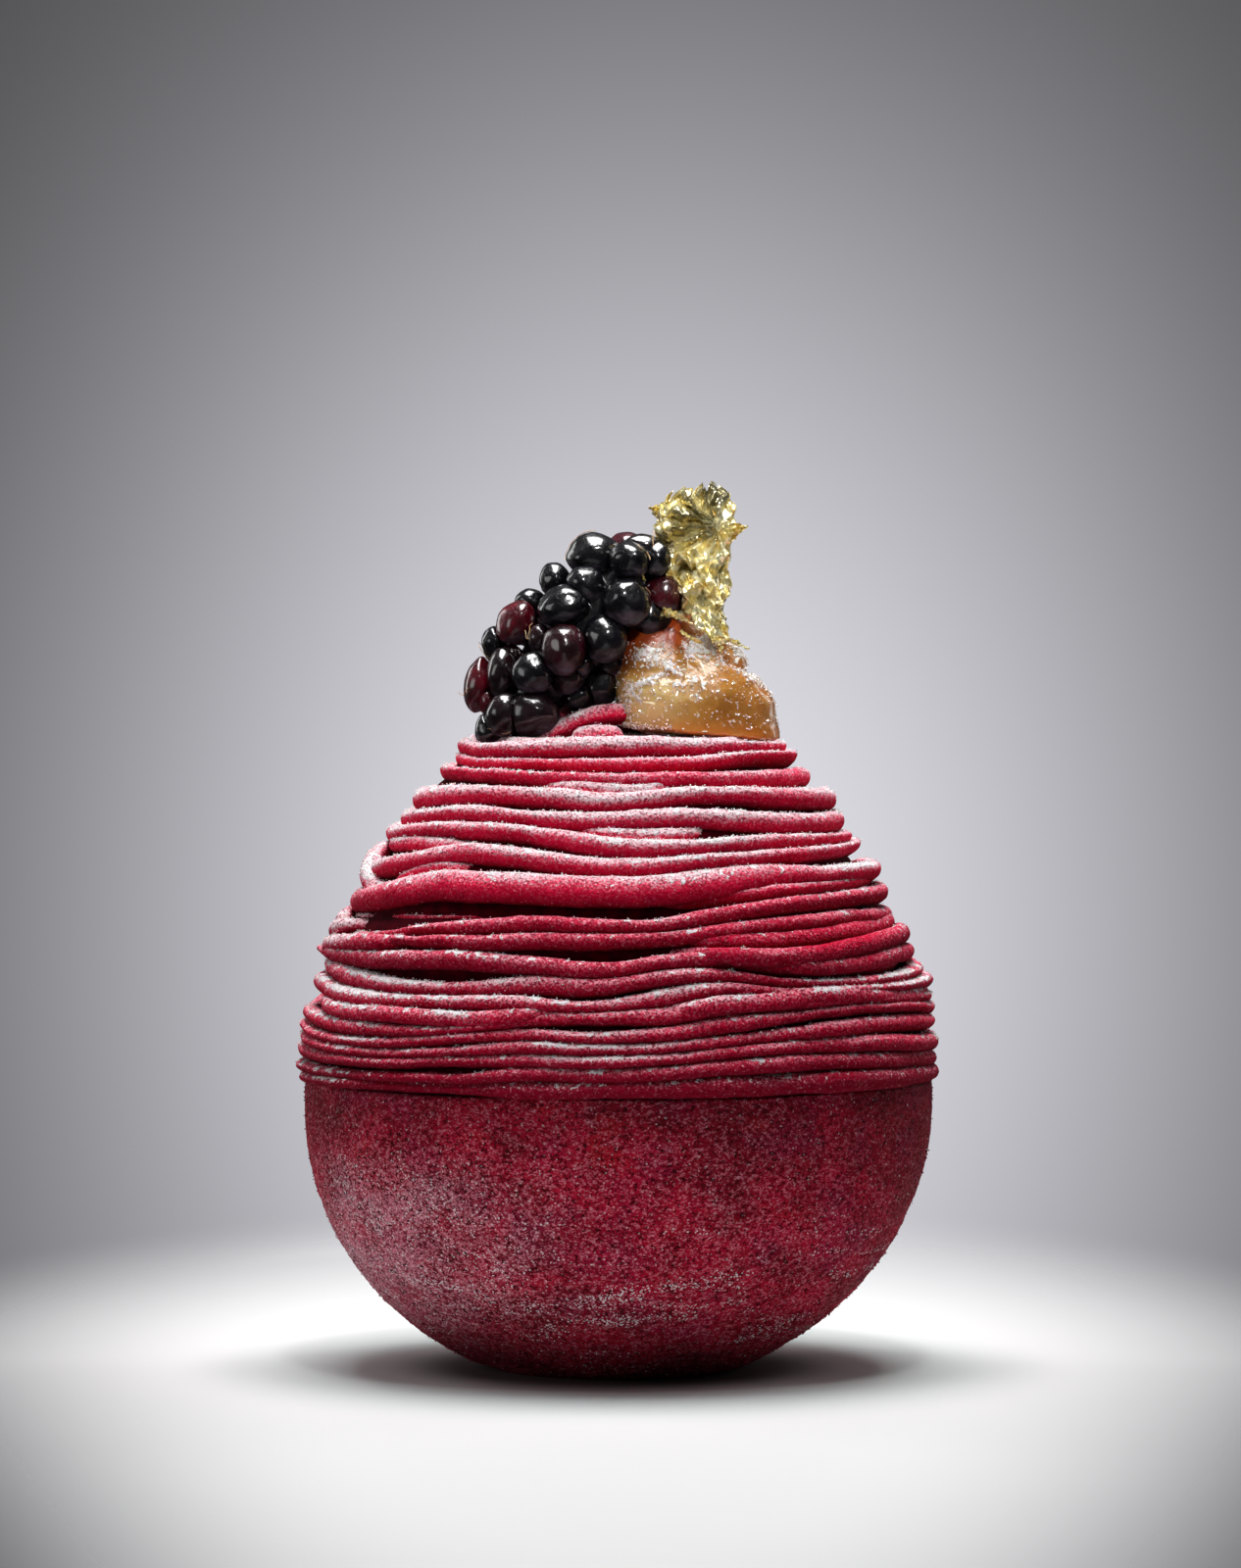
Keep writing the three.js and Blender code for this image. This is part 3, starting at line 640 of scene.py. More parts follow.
def shell_profile():
    """Radii and heights from the middle of the foot up the wall to the middle of the top."""
    lowest = math.asin(-SHELL_WIDEST / SHELL_DROP)
    highest = math.asin((SHELL_RIM - SHELL_WIDEST) / SHELL_DROP)
    angle = np.linspace(lowest, highest, SHELL_LEVELS)
    wall = np.stack([SHELL_RADIUS * np.cos(angle), SHELL_WIDEST + SHELL_DROP * np.sin(angle)], axis=1)
    foot = wall[0] - [[13.0, 0], [8.0, 0], [3.0, 0], [0.6, 0]]
    rim = wall[-1] + [[-0.12, 0.12], [-0.4, 0.2], [-2.5, 0.1], [-12.0, 0.0]]
    return np.concatenate([[[0, 0]], foot, wall, rim, [[0, SHELL_RIM]]])


def meringue_shell(finish):
    """The shell, with baked waves and a sandy skin on its wall, and a plain foot and top."""
    vertices, faces = spun(shell_profile(), SHELL_ROUNDS)
    radius = np.hypot(vertices[:, 0], vertices[:, 1])
    height = vertices[:, 2]
    azimuth = azimuth_of(vertices)
    lump = SHELL_LUMPS * sum(np.sin(turns * np.radians(azimuth) + rise * height + phase)
                             for turns, rise, phase in shell_waves())
    streaked = vertices * [1, 1, 1.7]
    crumb = 0.06 * noise(streaked, 0.5) + 0.05 * noise(streaked, 1.1, 4.0) + 0.08 * noise(vertices, 2.6, 9.0)
    below_top = np.maximum(smooth(radius, 20, 26) * (height < SHELL_RIM + 0.1), height < SHELL_RIM - 0.1)
    on_wall = smooth(height, 0.0, 1.2) * below_top
    outward = unit(vertices * [1, 1, (SHELL_RADIUS / SHELL_DROP) ** 2] - [0, 0, SHELL_WIDEST * 1.2])
    vertices = vertices + (on_wall * (lump + crumb))[:, None] * outward
    return make_piece("meringue_coat", vertices, faces, finish, crumb=np.clip(crumb * 4 + 0.5, 0, 1))


# Scattered grains

OCTAHEDRON = np.array([[1, 0, 0], [-1, 0, 0], [0, 1, 0], [0, -1, 0], [0, 0, 1], [0, 0, -1]], float)
OCTAHEDRON_FACES = np.array([
    [0, 2, 4], [2, 1, 4], [1, 3, 4], [3, 0, 4], [2, 0, 5], [1, 2, 5], [3, 1, 5], [0, 3, 5],
])
ICING_GRAINS = 23000
BERRY_CRUMBS = 9000
SUGAR_CRYSTALS = 6500
CRUMB_FINENESS = 1               # how finely the ball of a crumb is divided
DRUPELET_FINENESS = 4            # and the ball of a drupelet


def round_ball(fineness):
    """The points and faces of an evenly divided ball of radius 1."""
    ball = bmesh.new()
    bmesh.ops.create_icosphere(ball, subdivisions=fineness, radius=1.0)
    points = np.array([vertex.co[:] for vertex in ball.verts])
    faces = np.array([[vertex.index for vertex in face.verts] for face in ball.faces])
    ball.free()
    return points, faces


def scattered(name, places, sizes, shape, finish, **marks):
    """One mesh of grains at places, each turned and stretched at random."""
    points, faces = shape
    count = len(places)
    turn = unit(DRAWS.normal(size=(count, 3, 3)))
    turn[:, 1] = unit(turn[:, 1] - np.sum(turn[:, 0] * turn[:, 1], axis=1, keepdims=True) * turn[:, 0])
    turn[:, 2] = np.cross(turn[:, 0], turn[:, 1])
    stretch = DRAWS.uniform(0.8, 1.15, (count, 1, 3)) * (sizes / 2)[:, None, None]
    vertices = places[:, None] + (points[None] * stretch) @ turn
    all_faces = (faces[None] + (np.arange(count) * len(points))[:, None, None]).reshape(-1, faces.shape[1])
    spread = {mark: np.repeat(values, len(points)) for mark, values in marks.items()}
    return make_piece(name, vertices.reshape(-1, 3), all_faces, finish, False, **spread)


def drawn_from(points, normals, weight, count):
    """Places on a surface, drawn more often where the weight is higher."""
    picks = DRAWS.choice(len(points), count, replace=False, p=weight / weight.sum())
    jitter = DRAWS.uniform(-0.15, 0.15, (count, 3))
    return points[picks] + jitter, normals[picks]


def icing_sugar(surfaces, finish):
    """Grains of icing sugar on the strands, most of them where it has clumped."""
    points, normals = (np.concatenate(parts) for parts in zip(*surfaces))
    veil, clumps = icing_on(points, normals)
    weight = 0.16 * veil ** 2 + clumps ** 2 + 1e-6
    places, facing = drawn_from(points, normals, weight, ICING_GRAINS)
    sizes = 0.11 + 0.16 * DRAWS.random(len(places)) ** 2
    return scattered("icing_sugar", places + facing * 0.02, sizes, (OCTAHEDRON, OCTAHEDRON_FACES), finish)


def berry_crumbs(shell, finish):
    """Crumbs of berry powder on the shell's wall."""
    points, normals = vertices_of(shell)
    on_wall = (points[:, 2] > 0.6) & (points[:, 2] < SHELL_RIM) & (np.hypot(points[:, 0], points[:, 1]) > 13)
    weight = on_wall * (0.3 + smooth(noise(points * [1, 1, 2.2], 1.6, 50.0), -0.2, 0.8))
    places, facing = drawn_from(points, normals, weight, BERRY_CRUMBS)
    sizes = 0.13 + 0.13 * DRAWS.random(len(places)) ** 2
    tint = DRAWS.random(len(places))
    shape = round_ball(CRUMB_FINENESS)
    return scattered("berry_crumbs", places - facing * 0.03, sizes, shape, finish, tint=tint)


# Bramble

Drupelet = namedtuple("Drupelet", "centre size sides ripe")      # size is half of its width, depth and height

# The drupelets that face the viewer, as seen on the upright plane through the fruit: across, up, width,
# height, lean in degrees, how red each one still is and how far it lies back behind its neighbours
FACING_DRUPELETS = [
    (-2.6, 90.4, 6.1, 5.0, -8, 0.00, 0.0), (-3.5, 87.2, 4.4, 4.1, 0, 0.00, 0.4),
    (1.4, 89.9, 4.6, 4.1, 0, 0.00, 0.2), (2.8, 91.3, 5.0, 3.1, 0, 0.02, 2.0),
    (4.4, 90.0, 3.3, 4.1, 0, 0.00, 1.2), (1.1, 85.3, 5.5, 5.5, 0, 0.00, -0.3),
    (5.2, 86.1, 4.4, 5.0, -30, 0.45, 0.2), (-6.9, 87.7, 3.5, 3.9, 0, 0.00, 0.8),
    (-5.9, 84.8, 6.1, 4.6, -20, 0.00, -0.2), (-9.6, 85.1, 3.5, 3.3, 0, 0.00, 1.6),
    (-11.2, 82.9, 4.1, 5.7, 28, 0.90, 0.2), (-13.6, 80.6, 2.9, 4.1, 0, 0.00, 1.4),
    (-8.6, 81.2, 2.7, 3.2, 0, 0.10, 0.4), (-5.9, 79.9, 5.0, 5.9, 0, 0.18, -0.5),
    (-1.3, 81.2, 5.0, 5.5, 0, 0.00, 0.0), (-1.0, 78.1, 3.3, 3.3, 0, 0.05, 1.0),
    (-12.8, 77.2, 3.5, 6.1, 6, 0.10, 0.1), (-11.8, 79.3, 2.8, 2.6, 0, 0.15, 0.5),
    (-9.4, 77.3, 4.6, 4.7, 0, 0.00, -0.2), (-15.3, 76.0, 3.5, 6.3, 10, 0.75, 0.4),
    (-14.4, 74.2, 2.2, 3.3, 0, 0.60, 0.9), (-1.9, 76.1, 4.8, 5.0, 0, 0.00, -0.1),
    (-4.4, 74.6, 3.7, 3.3, 0, 0.00, 0.4), (-12.5, 72.7, 4.4, 5.2, 20, 0.05, 0.0),
    (-9.3, 72.7, 5.9, 5.5, 0, 0.06, -0.3), (-14.0, 71.0, 3.5, 4.4, 0, 0.00, 0.9),
    (-5.6, 76.7, 3.7, 3.7, 0, 0.10, 1.2), (-6.7, 71.5, 3.7, 2.8, 0, 0.40, 0.9),
    (-4.1, 78.5, 2.8, 3.1, 0, 0.00, 1.2),
]
PRESSED = 0.90                   # how far touching drupelets press each other flat
CLEAR_OF_FACING = 0.55           # how near the others may come to these, as a share of the two radii
HIDDEN_FROM = -3                 # and how far forward
HAIRS = 26
HAIR = 0.085                     # how thick a hair is

# The rings of drupelets on its far side: how far along the fruit, how wide, how many and from which angle
DRUPELET_RINGS = [
    (0.03, 0.62, 5, 20), (0.2, 0.96, 8, 0), (0.39, 1.06, 8, 22), (0.58, 1.04, 8, 4),
    (0.77, 0.92, 7, 24), (0.93, 0.62, 5, 6), (1.03, 0.0, 1, 0),
]


def bramble_axis():
    """Directions along the fruit, across it towards the viewer and to its side, and its length."""
    along = BRAMBLE_TIP - BRAMBLE_FOOT
    length = np.linalg.norm(along)
    along = along / length
    across = np.array([0.0, -1.0, 0.0])
    across = unit(across - across.dot(along) * along)
    return along, across, np.cross(across, along), length


def facing_drupelet(across, up, width, height, lean, ripe, back):
    """A drupelet on the side that faces the viewer, as deep as the fruit's girth puts it."""
    along, *_, length = bramble_axis()
    in_plane = np.array([across, 0.0, up])
    t = np.clip((in_plane - BRAMBLE_FOOT).dot(along) / length, 0, 1)
    aside = np.linalg.norm((in_plane - BRAMBLE_FOOT - t * length * along) * [1, 0, 1])
    girth = BRAMBLE_GIRTH * (0.72 + 0.34 * math.sin(math.pi * (0.1 + 0.8 * t)))
    depth = back - 0.4 - math.sqrt(max(girth ** 2 - aside ** 2, 0.4))
    away = 1 - depth / CAMERA[1]
    centre = CAMERA + (in_plane - CAMERA) * away
    turn = math.radians(lean)
    sides = np.array([[math.cos(turn), 0, -math.sin(turn)], [0, 1, 0], [math.sin(turn), 0, math.cos(turn)]])
    return Drupelet(centre, np.array([width, (width + height) / 2, height]) / 2, sides, ripe)


def drupelets():
    """The drupelets that face the viewer, and those behind them that leave them room."""
    facing = [facing_drupelet(*seen) for seen in FACING_DRUPELETS]
    along, across, side, length = bramble_axis()
    draw = seeded_random(17)
    hidden = []
    for share, girth, count, turn in DRUPELET_RINGS:
        for i in range(count):
            angle = (i + draw(-0.1, 0.1)) / count * 2 * math.pi + math.radians(turn)
            reach = BRAMBLE_GIRTH * girth * draw(0.95, 1.06)
            centre = BRAMBLE_FOOT + along * length * (share + draw(-0.02, 0.02))
            centre = centre + reach * (across * math.cos(angle) + side * math.sin(angle))
            radius = DRUPELET * draw(0.84, 1.12)
            hidden.append(Drupelet(centre, np.full(3, radius), np.eye(3), 0.4 * max(draw(-1.6, 1), 0)))
    kept = []
    for one in hidden:
        nearest = min(np.linalg.norm(one.centre - other.centre) / (one.size.mean() + other.size.mean())
                      for other in facing)
        if nearest > CLEAR_OF_FACING and one.centre[1] > HIDDEN_FROM:
            kept.append(one)
    return facing + kept


def bramble_pieces(skin_finish, hair_finish):
    """Drupelets that press flat where they meet, over the fruit's core, and the hairs between them."""
    fruit = drupelets()
    ball, ball_faces = round_ball(DRUPELET_FINENESS)
    parts, ripeness = [], []
    for i, one in enumerate(fruit):
        points = (ball * one.size) @ one.sides
        dents = 0.08 * noise(ball * 1.7, 1.0, 2.7 * i) + 0.018 * noise(ball * 5.0, 1.0, 2.7 * i)
        points = points * (1 + dents)[:, None]
        for j, other in enumerate(fruit):
            way = other.centre - one.centre
            distance = np.linalg.norm(way)
            near, far = one.size.mean(), other.size.mean()
            if i != j and distance < near + far:
                way = way / distance
                wall = max((distance ** 2 + near ** 2 - far ** 2) / (2 * distance), 0.25 * near) - 0.03
                beyond = np.maximum(points @ way - wall, 0)
                points = points - PRESSED * beyond[:, None] * way
        parts.append((points + one.centre, ball_faces))
        ripeness.append(np.full(len(points), one.ripe))
    along, across, side, length = bramble_axis()
    core_girth = BRAMBLE_GIRTH - 0.4
    core_sides = np.array([across * core_girth, along * length * 0.52, side * core_girth])
    core = BRAMBLE_FOOT + along * length * 0.5 + ball @ core_sides
    parts.append((core, ball_faces))
    ripeness.append(np.zeros(len(core)))
    vertices, faces = joined(parts)
    skin = make_piece("bramble_drupelets", vertices, faces, skin_finish, ripe=np.concatenate(ripeness))
    return [skin, bramble_hairs(fruit, hair_finish)]


def bramble_hairs(fruit, finish):
    """Fine dry hairs, each curved round a drupelet."""
    draw = seeded_random(53)
    parts = []
    for _ in range(HAIRS):
        one = fruit[int(draw(0, len(fruit)))]
        away = unit(one.centre - (BRAMBLE_FOOT + BRAMBLE_TIP) / 2)
        sideways = unit(np.cross(away, [draw(-1, 1), draw(-1, 1), draw(-1, 1)]))
        reach = one.size.mean() * draw(0.95, 1.08)
        swing = draw(0.7, 1.5)
        t = np.linspace(-0.3, 1, 14)[:, None]
        angle = swing * t + draw(0.0, 0.8)
        path = one.centre + (reach + 0.5 * t ** 2) * (np.cos(angle) * away + np.sin(angle) * sideways)
        path = path + 0.25 * np.sin(5 * t + draw(0, 6)) * np.cross(away, sideways)
        parts.append(strand(path, np.tile(away, (len(t), 1)), HAIR, 0.0, False, HAIR_SECTION, 0))
    vertices, faces = joined(parts)
    return make_piece("bramble_hairs", vertices, faces, finish)


# Candied chestnut

# Creases of its surface as the viewer sees them, from one point to the next: across, up, then width and depth
CHESTNUT_CREASES = [
    ((10.6, 81.0), (12.6, 79.0), 0.55, 0.9),
    ((12.6, 79.0), (15.3, 77.8), 0.55, 0.9),
    ((15.3, 77.8), (16.6, 75.9), 0.60, 0.35),
    ((7.4, 82.4), (7.9, 78.4), 0.80, 0.5),
    ((12.8, 74.4), (13.2, 69.6), 0.80, 0.15),
    ((0.6, 78.2), (5.6, 77.2), 0.70, 0.3),
    ((15.0, 75.4), (16.4, 72.4), 0.90, 0.15),
]

# Patches of sugar crystals on it: across, up, reach across and up, lean in degrees and how thick they lie
SugarPatch = namedtuple("SugarPatch", "across up wide high lean much")
SUGAR_PATCHES = [
    SugarPatch(3.7, 79.5, 2.1, 1.1, 12, 1.00),
    SugarPatch(9.2, 80.3, 1.8, 1.5, 0, 1.25),
    SugarPatch(5.9, 78.2, 1.8, 0.7, -25, 0.85),
    SugarPatch(3.7, 76.8, 1.7, 0.35, 24, 1.30),
    SugarPatch(1.7, 75.7, 1.2, 1.3, 40, 0.60),
    SugarPatch(7.9, 76.4, 3.0, 0.7, 4, 0.55),
    SugarPatch(11.7, 78.6, 0.8, 0.5, 0, 1.00),
    SugarPatch(14.4, 77.2, 2.4, 0.6, -28, 0.62),
    SugarPatch(13.4, 80.0, 1.6, 0.8, -30, 0.55),
    SugarPatch(9.2, 74.8, 0.7, 1.0, -30, 0.55),
    SugarPatch(12.9, 74.0, 1.0, 0.4, 0, 0.55),
    SugarPatch(14.6, 72.4, 0.4, 1.3, 0, 0.45),
    SugarPatch(1.2, 73.4, 0.8, 1.6, 20, 0.45),
]
SQUARE_LEFT = 4.6                # powers of the curves of its left and right sides, as seen from the front
ROUND_RIGHT = 1.72
SQUARE_FOOT = 3.4                # and below its middle
ROUND_DEPTH = 2.6                # power of its curve from front to back
FOOT_DROP = 0.9                  # how far it reaches below its middle


def frost_on(points):
    """How much sugar lies at places on the chestnut, from 0 to about 1, the same in front and behind."""
    frost = -0.8 * smooth(points[:, 2], 80.6, 82.0) * smooth(points[:, 0], 9.0, 7.0)
    for patch in SUGAR_PATCHES:
        turn = math.radians(patch.lean)
        across, up = points[:, 0] - patch.across, points[:, 2] - patch.up
        along = (across * math.cos(turn) + up * math.sin(turn)) / patch.wide
        over = (up * math.cos(turn) - across * math.sin(turn)) / patch.high
        frost = frost + patch.much * np.exp(-(along ** 2 + over ** 2) ** 1.5)
    return frost


def to_segment(points, start, end):
    """Distances from points to a line between two places, seen from the front."""
    seen = points[:, [0, 2]]
    start, end = np.array(start), np.array(end)
    along = end - start
    share = np.clip((seen - start) @ along / along.dot(along), 0, 1)
    return np.linalg.norm(seen - start - share[:, None] * along, axis=1)


def candied_chestnut(finish):
    """The piece of chestnut, squarish at its left, rounder at its right, creased and crusted with sugar."""
    rounds, levels = 330, 220
    polar = np.linspace(0, math.pi, levels + 2)[1:-1, None]
    turn = np.linspace(0, 2 * math.pi, rounds, endpoint=False)[None, :]
    belt = np.sin(polar)
    ball = np.stack(np.broadcast_arrays(belt * np.cos(turn), belt * np.sin(turn), np.cos(polar)), axis=-1)
    ball = np.concatenate([ball.reshape(-1, 3), [[0, 0, 1], [0, 0, -1]]])
    x, y, z = ball.T
    power = SQUARE_LEFT + (ROUND_RIGHT - SQUARE_LEFT) * smooth(x, -0.35, 0.25)
    power = np.where(z < 0, SQUARE_FOOT, power)
    upright = (np.abs(x) ** power + np.abs(z) ** power) ** (1 / power)
    flat_front = (upright ** ROUND_DEPTH + np.abs(y) ** ROUND_DEPTH) ** (1 / ROUND_DEPTH)
    place = ball / flat_front[:, None]
    wide = np.where(x < 0, CHESTNUT_LEFT, CHESTNUT_RIGHT)
    high = np.where(z > 0, CHESTNUT_HEIGHT, FOOT_DROP)
    across = place[:, 0] * wide
    left_rise = 0.10 * np.clip(-across, -8, 6) * smooth(z, 0, 0.5)
    height = place[:, 2] * high - 0.1 * across * (z < 0.2) + 0.5 * left_rise
    points = CHESTNUT_MIDDLE + np.stack([across, place[:, 1] * CHESTNUT_DEPTH, height], axis=1)
    points[:, 1] *= 1 - 0.5 * smooth(points[:, 2], 74.0, 85.0)
    inward = unit(ball * [1, 1, 0.7])
    groove = sum(deep * bell(to_segment(points, start, end), width)
                 for start, end, width, deep in CHESTNUT_CREASES)
    swell = 0.30 * noise(points, 3.8, 3.0) + 0.07 * noise(points, 1.3, 8.0)
    frost = frost_on(points)
    crusted = smooth(frost + 0.9 * noise(points, 0.28, 21.0) + 0.35 * noise(points, 0.9, 22.0), 0.55, 0.95)
    rough = 0.03 * noise(points, 0.45, 6.0) + crusted * (0.12 + 0.16 * noise(points, 0.36, 9.0))
    points = points + (swell + rough - groove)[:, None] * inward
    faces = grid_faces(levels, rounds, False, True)
    ring = np.arange(rounds)
    count = levels * rounds
    faces = np.concatenate([faces, fan(count, ring, False), fan(count + 1, ring + count - rounds, True)])
    return make_piece("chestnut_glazed", points, faces, finish, frost=crusted,
                      groove=np.clip(groove, 0, 1), veined=np.clip(frost, 0, 1))


def sugar_crystals(chestnut, finish):
    """Crystals in the chestnut's patches of sugar, and a few beside them."""
    points, normals = vertices_of(chestnut)
    frost = frost_on(points)
    patches = smooth(0.9 * noise(points, 0.28, 21.0) + 0.4 * noise(points, 0.9, 22.0) + 1.3 * frost, 0.6, 1.3)
    patches = patches * smooth(frost, 0.05, 0.35)
    weight = (points[:, 2] > 71.5) * (0.001 * (frost > -0.1) + patches ** 2)
    places, facing = drawn_from(points, normals, weight, SUGAR_CRYSTALS)
    sizes = 0.11 + 0.20 * DRAWS.random(len(places)) ** 2
    return scattered("sugar_crystals", places + facing * 0.05, sizes, (OCTAHEDRON, OCTAHEDRON_FACES), finish)


# Gold leaf

def folds(u, v, size, seed, waves=3, spread=math.pi):
    """Flat facets that meet in sharp folds, from about -1 to 1. They are waves with straight sides, most of
    them across v where the spread of their directions is small."""
    draw = seeded_random(seed)
    total = 0.0
    for i in range(waves):
        turn = math.pi / 2 + spread * ((i + draw(0.1, 0.9)) / waves - 0.5)
        run = (u * math.cos(turn) + v * math.sin(turn)) / (size * draw(0.7, 1.4)) + draw(0, 2)
        total = total + np.abs(run % 2 - 1) * 2 - 1
    return total / waves ** 0.7


def closed_sheet(points, thickness):
    """A grid of points given a thickness, with its four edges closed."""
    rows, columns = points.shape[:2]
    along = np.gradient(points, axis=0)
    across = np.gradient(points, axis=1)
    facing = unit(np.cross(along, across))
    front = (points + facing * thickness / 2).reshape(-1, 3)
    back = (points - facing * thickness / 2).reshape(-1, 3)
    faces = grid_faces(rows, columns, False, False)
    count = rows * columns
    number = np.arange(count).reshape(rows, columns)
    edge = np.concatenate([number[0, :-1], number[:-1, -1], number[-1, :0:-1], number[:0:-1, 0]])
    following = np.roll(edge, -1)
    sides = np.concatenate([np.stack([edge, following, following + count], axis=1),
                            np.stack([edge, following + count, edge + count], axis=1)])
    return np.concatenate([front, back]), np.concatenate([faces, faces[:, ::-1] + count, sides])


# The leaf as the viewer sees it: heights with the places of its left and right sides there, and then its torn
# top edge and its lower edge at shares of its width, from the left to the right
GOLD_HEIGHTS = [81.4, 82.4, 84.6, 86.8, 89.0, 91.6, 93.4, 94.6, 95.8, 97.0, 98.4]
GOLD_LEFTS = [7.8, 7.2, 6.7, 6.4, 5.3, 4.9, 4.4, 4.6, 4.2, 4.9, 6.4]
GOLD_RIGHTS = [12.2, 11.9, 11.8, 12.0, 12.2, 12.6, 13.2, 13.0, 12.9, 12.9, 12.3]
GOLD_SHARES = [-1.0, -0.8, -0.6, -0.4, -0.2, 0.0, 0.2, 0.4, 0.6, 0.8, 1.0]
GOLD_EDGE = [95.8, 96.8, 97.4, 97.6, 97.5, 98.1, 98.3, 98.4, 98.2, 97.7, 96.6]
GOLD_FOOT = [84.0, 83.7, 83.2, 82.7, 82.2, 81.7, 81.3, 81.0, 80.6, 80.9, 81.2]

# Strips that stick out of it: their places one after another, and how wide they are
GOLD_STRIPS = [
    ([(10.4, -3.2, 82.0), (11.8, -3.0, 81.4), (13.2, -2.4, 80.8), (14.6, -1.6, 80.0)], 0.9),
    ([(10.8, -4.6, 81.6), (11.3, -5.3, 80.6), (11.6, -5.6, 79.6)], 0.8),
    ([(12.2, -0.6, 92.6), (13.2, -0.8, 93.3), (14.5, -1.0, 93.6)], 1.5),
    ([(5.0, -1.0, 95.0), (4.3, -1.1, 95.5), (3.5, -1.2, 95.8)], 0.9),
    ([(5.0, -5.0, 84.3), (6.6, -5.2, 83.9), (8.4, -5.0, 82.9)], 0.9),
    ([(3.0, -3.4, 91.4), (3.5, -3.6, 90.4), (3.4, -4.0, 89.6)], 0.5),
    ([(2.4, -4.6, 89.2), (2.8, -4.8, 88.4), (3.1, -5.0, 87.6)], 0.4),
    ([(7.0, -5.9, 82.2), (8.2, -6.6, 81.4), (9.6, -7.2, 80.8)], 0.5),
    ([(11.4, -0.6, 88.2), (12.4, -0.6, 87.2), (12.0, -0.6, 86.2)], 0.8),
]
LEAF_CRUMPLE = 0.62              # how strongly the leaf is crumpled
LEAF_CURL = 134                  # degrees that it curls round to each side
LEAF_ARC = 4.2                   # its radius, for the places of its folds when it is laid flat
LEAF_RISE = 16                   # and its height then
FAN_POINT = (2.4, 93.6)          # where its long folds meet: across from its middle, and up


def fan_folds(across, up):
    """Sharp folds that run out from one point, from -1 to 1, and where they reach."""
    away = np.hypot(across - FAN_POINT[0], up - FAN_POINT[1])
    turn = np.arctan2(up - FAN_POINT[1], across - FAN_POINT[0])
    wave = np.abs((turn / 0.23 + 0.4 * np.sin(2.3 * turn)) % 2 - 1) * 2 - 1
    return wave * np.clip(away / 4, 0, 1), smooth(away, 6.4, 4.6)


def gold_leaf(finish):
    """The leaf, curled round and crumpled, with bands at its foot and a fan of folds above."""
    across_steps, up_steps = 260, 156
    angle = np.radians(np.linspace(-LEAF_CURL, LEAF_CURL, across_steps))[None, :]
    share = np.sin(angle)
    up = np.linspace(0, 1, up_steps)[:, None]
    draws = np.stack(np.broadcast_arrays(LEAF_ARC * angle, LEAF_RISE * up, 0.0), axis=-1)
    tear = 0.5 * noise(draws * [1, 0, 1], 0.45, 3.0) + 0.4 * noise(draws * [1, 0, 1], 1.2, 6.0)
    edge = np.interp(share, GOLD_SHARES, GOLD_EDGE) + tear
    foot = np.interp(share, GOLD_SHARES, GOLD_FOOT) + 0.5 * tear
    height = foot + (edge - foot) * up
    left = np.interp(height, GOLD_HEIGHTS, GOLD_LEFTS)
    right = np.interp(height, GOLD_HEIGHTS, GOLD_RIGHTS)
    middle, half = (left + right) / 2, (right - left) / 2
    arc = LEAF_ARC * angle + 0.9 * noise(draws, 3.0, 1.0)
    rise = LEAF_RISE * up + 0.9 * noise(draws, 3.0, 8.0)
    across = half * share
    is_facing = np.cos(angle) > 0
    fan_wave, in_fan = fan_folds(across, height)
    in_fan = in_fan * is_facing * smooth(height, 89.5, 91.0)
    is_upright = smooth(height, 93.4, 94.6)
    is_banded = smooth(height, 85.4, 83.8)
    crumple = 1.9 * folds(arc, rise, 2.1, 3, 3, 2.2) + 0.55 * folds(arc, rise, 0.95, 4, 3, 2.0)
    upright = 0.6 * folds(arc, 0.25 * rise, 0.55, 12, 2) + 1.0 * folds(arc, rise, 1.5, 13)
    banded = 0.6 * folds(0.22 * arc, rise, 0.6, 14, 2, 1.0) + 0.9 * folds(arc, rise, 1.2, 15, 3, 1.6)
    smooth_back = bell(across - 2.2, 1.4) * bell(height - 97.2, 1.3) * is_facing
    crumple = crumple + (upright - crumple) * is_upright * 0.8
    crumple = crumple + (banded - crumple) * is_banded * 0.8
    crumple = crumple + (1.3 * fan_wave - crumple) * in_fan * 0.92
    crumple = LEAF_CRUMPLE * crumple * (1 - 0.8 * smooth_back)
    crumple = crumple + 0.06 * folds(arc, rise, 0.42, 16, 4)
    deep = 5.2 - 2.4 * smooth(up, 0.0, 0.9) - 0.9 * smooth(up, 0.85, 1)
    slide = 0.30 * folds(arc, rise, 1.1, 9) + 0.10 * folds(arc, rise, 0.45, 10)
    x = middle + across + 0.35 * crumple * share + slide
    y = GOLD_AXIS - (deep + crumple) * np.cos(angle) - 0.4 * crumple * np.abs(share)
    z = height + 0.2 * folds(arc, rise, 1.2, 6) * smooth(up, 0, 0.1)
    points = np.stack([x, y, z], axis=-1)
    fan_shade = in_fan * (0.30 + 0.65 * smooth(fan_wave, -0.1, 0.1)) * smooth(across, 3.2, 2.0)
    fan_shade = fan_shade * smooth(height, 91.2, 92.8)
    hollow = 0.55 * smooth(crumple, -0.45, -0.9) * (1 - in_fan)
    shade = np.clip(smooth_back * 1.5 + fan_shade + hollow, 0, 1)
    sheets = [closed_sheet(points, GOLD_THICKNESS)]
    shades = [np.tile(shade.ravel(), 2)]
    for i, (knots, width) in enumerate(GOLD_STRIPS):
        vertices, faces = foil_strip(np.array(knots), width, 20 + i)
        sheets.append((vertices, faces))
        shades.append(np.full(len(vertices), 0.1))
    vertices, faces = joined(sheets)
    return make_piece("gold_crumpled", vertices, faces, finish, False, shade=np.concatenate(shades))


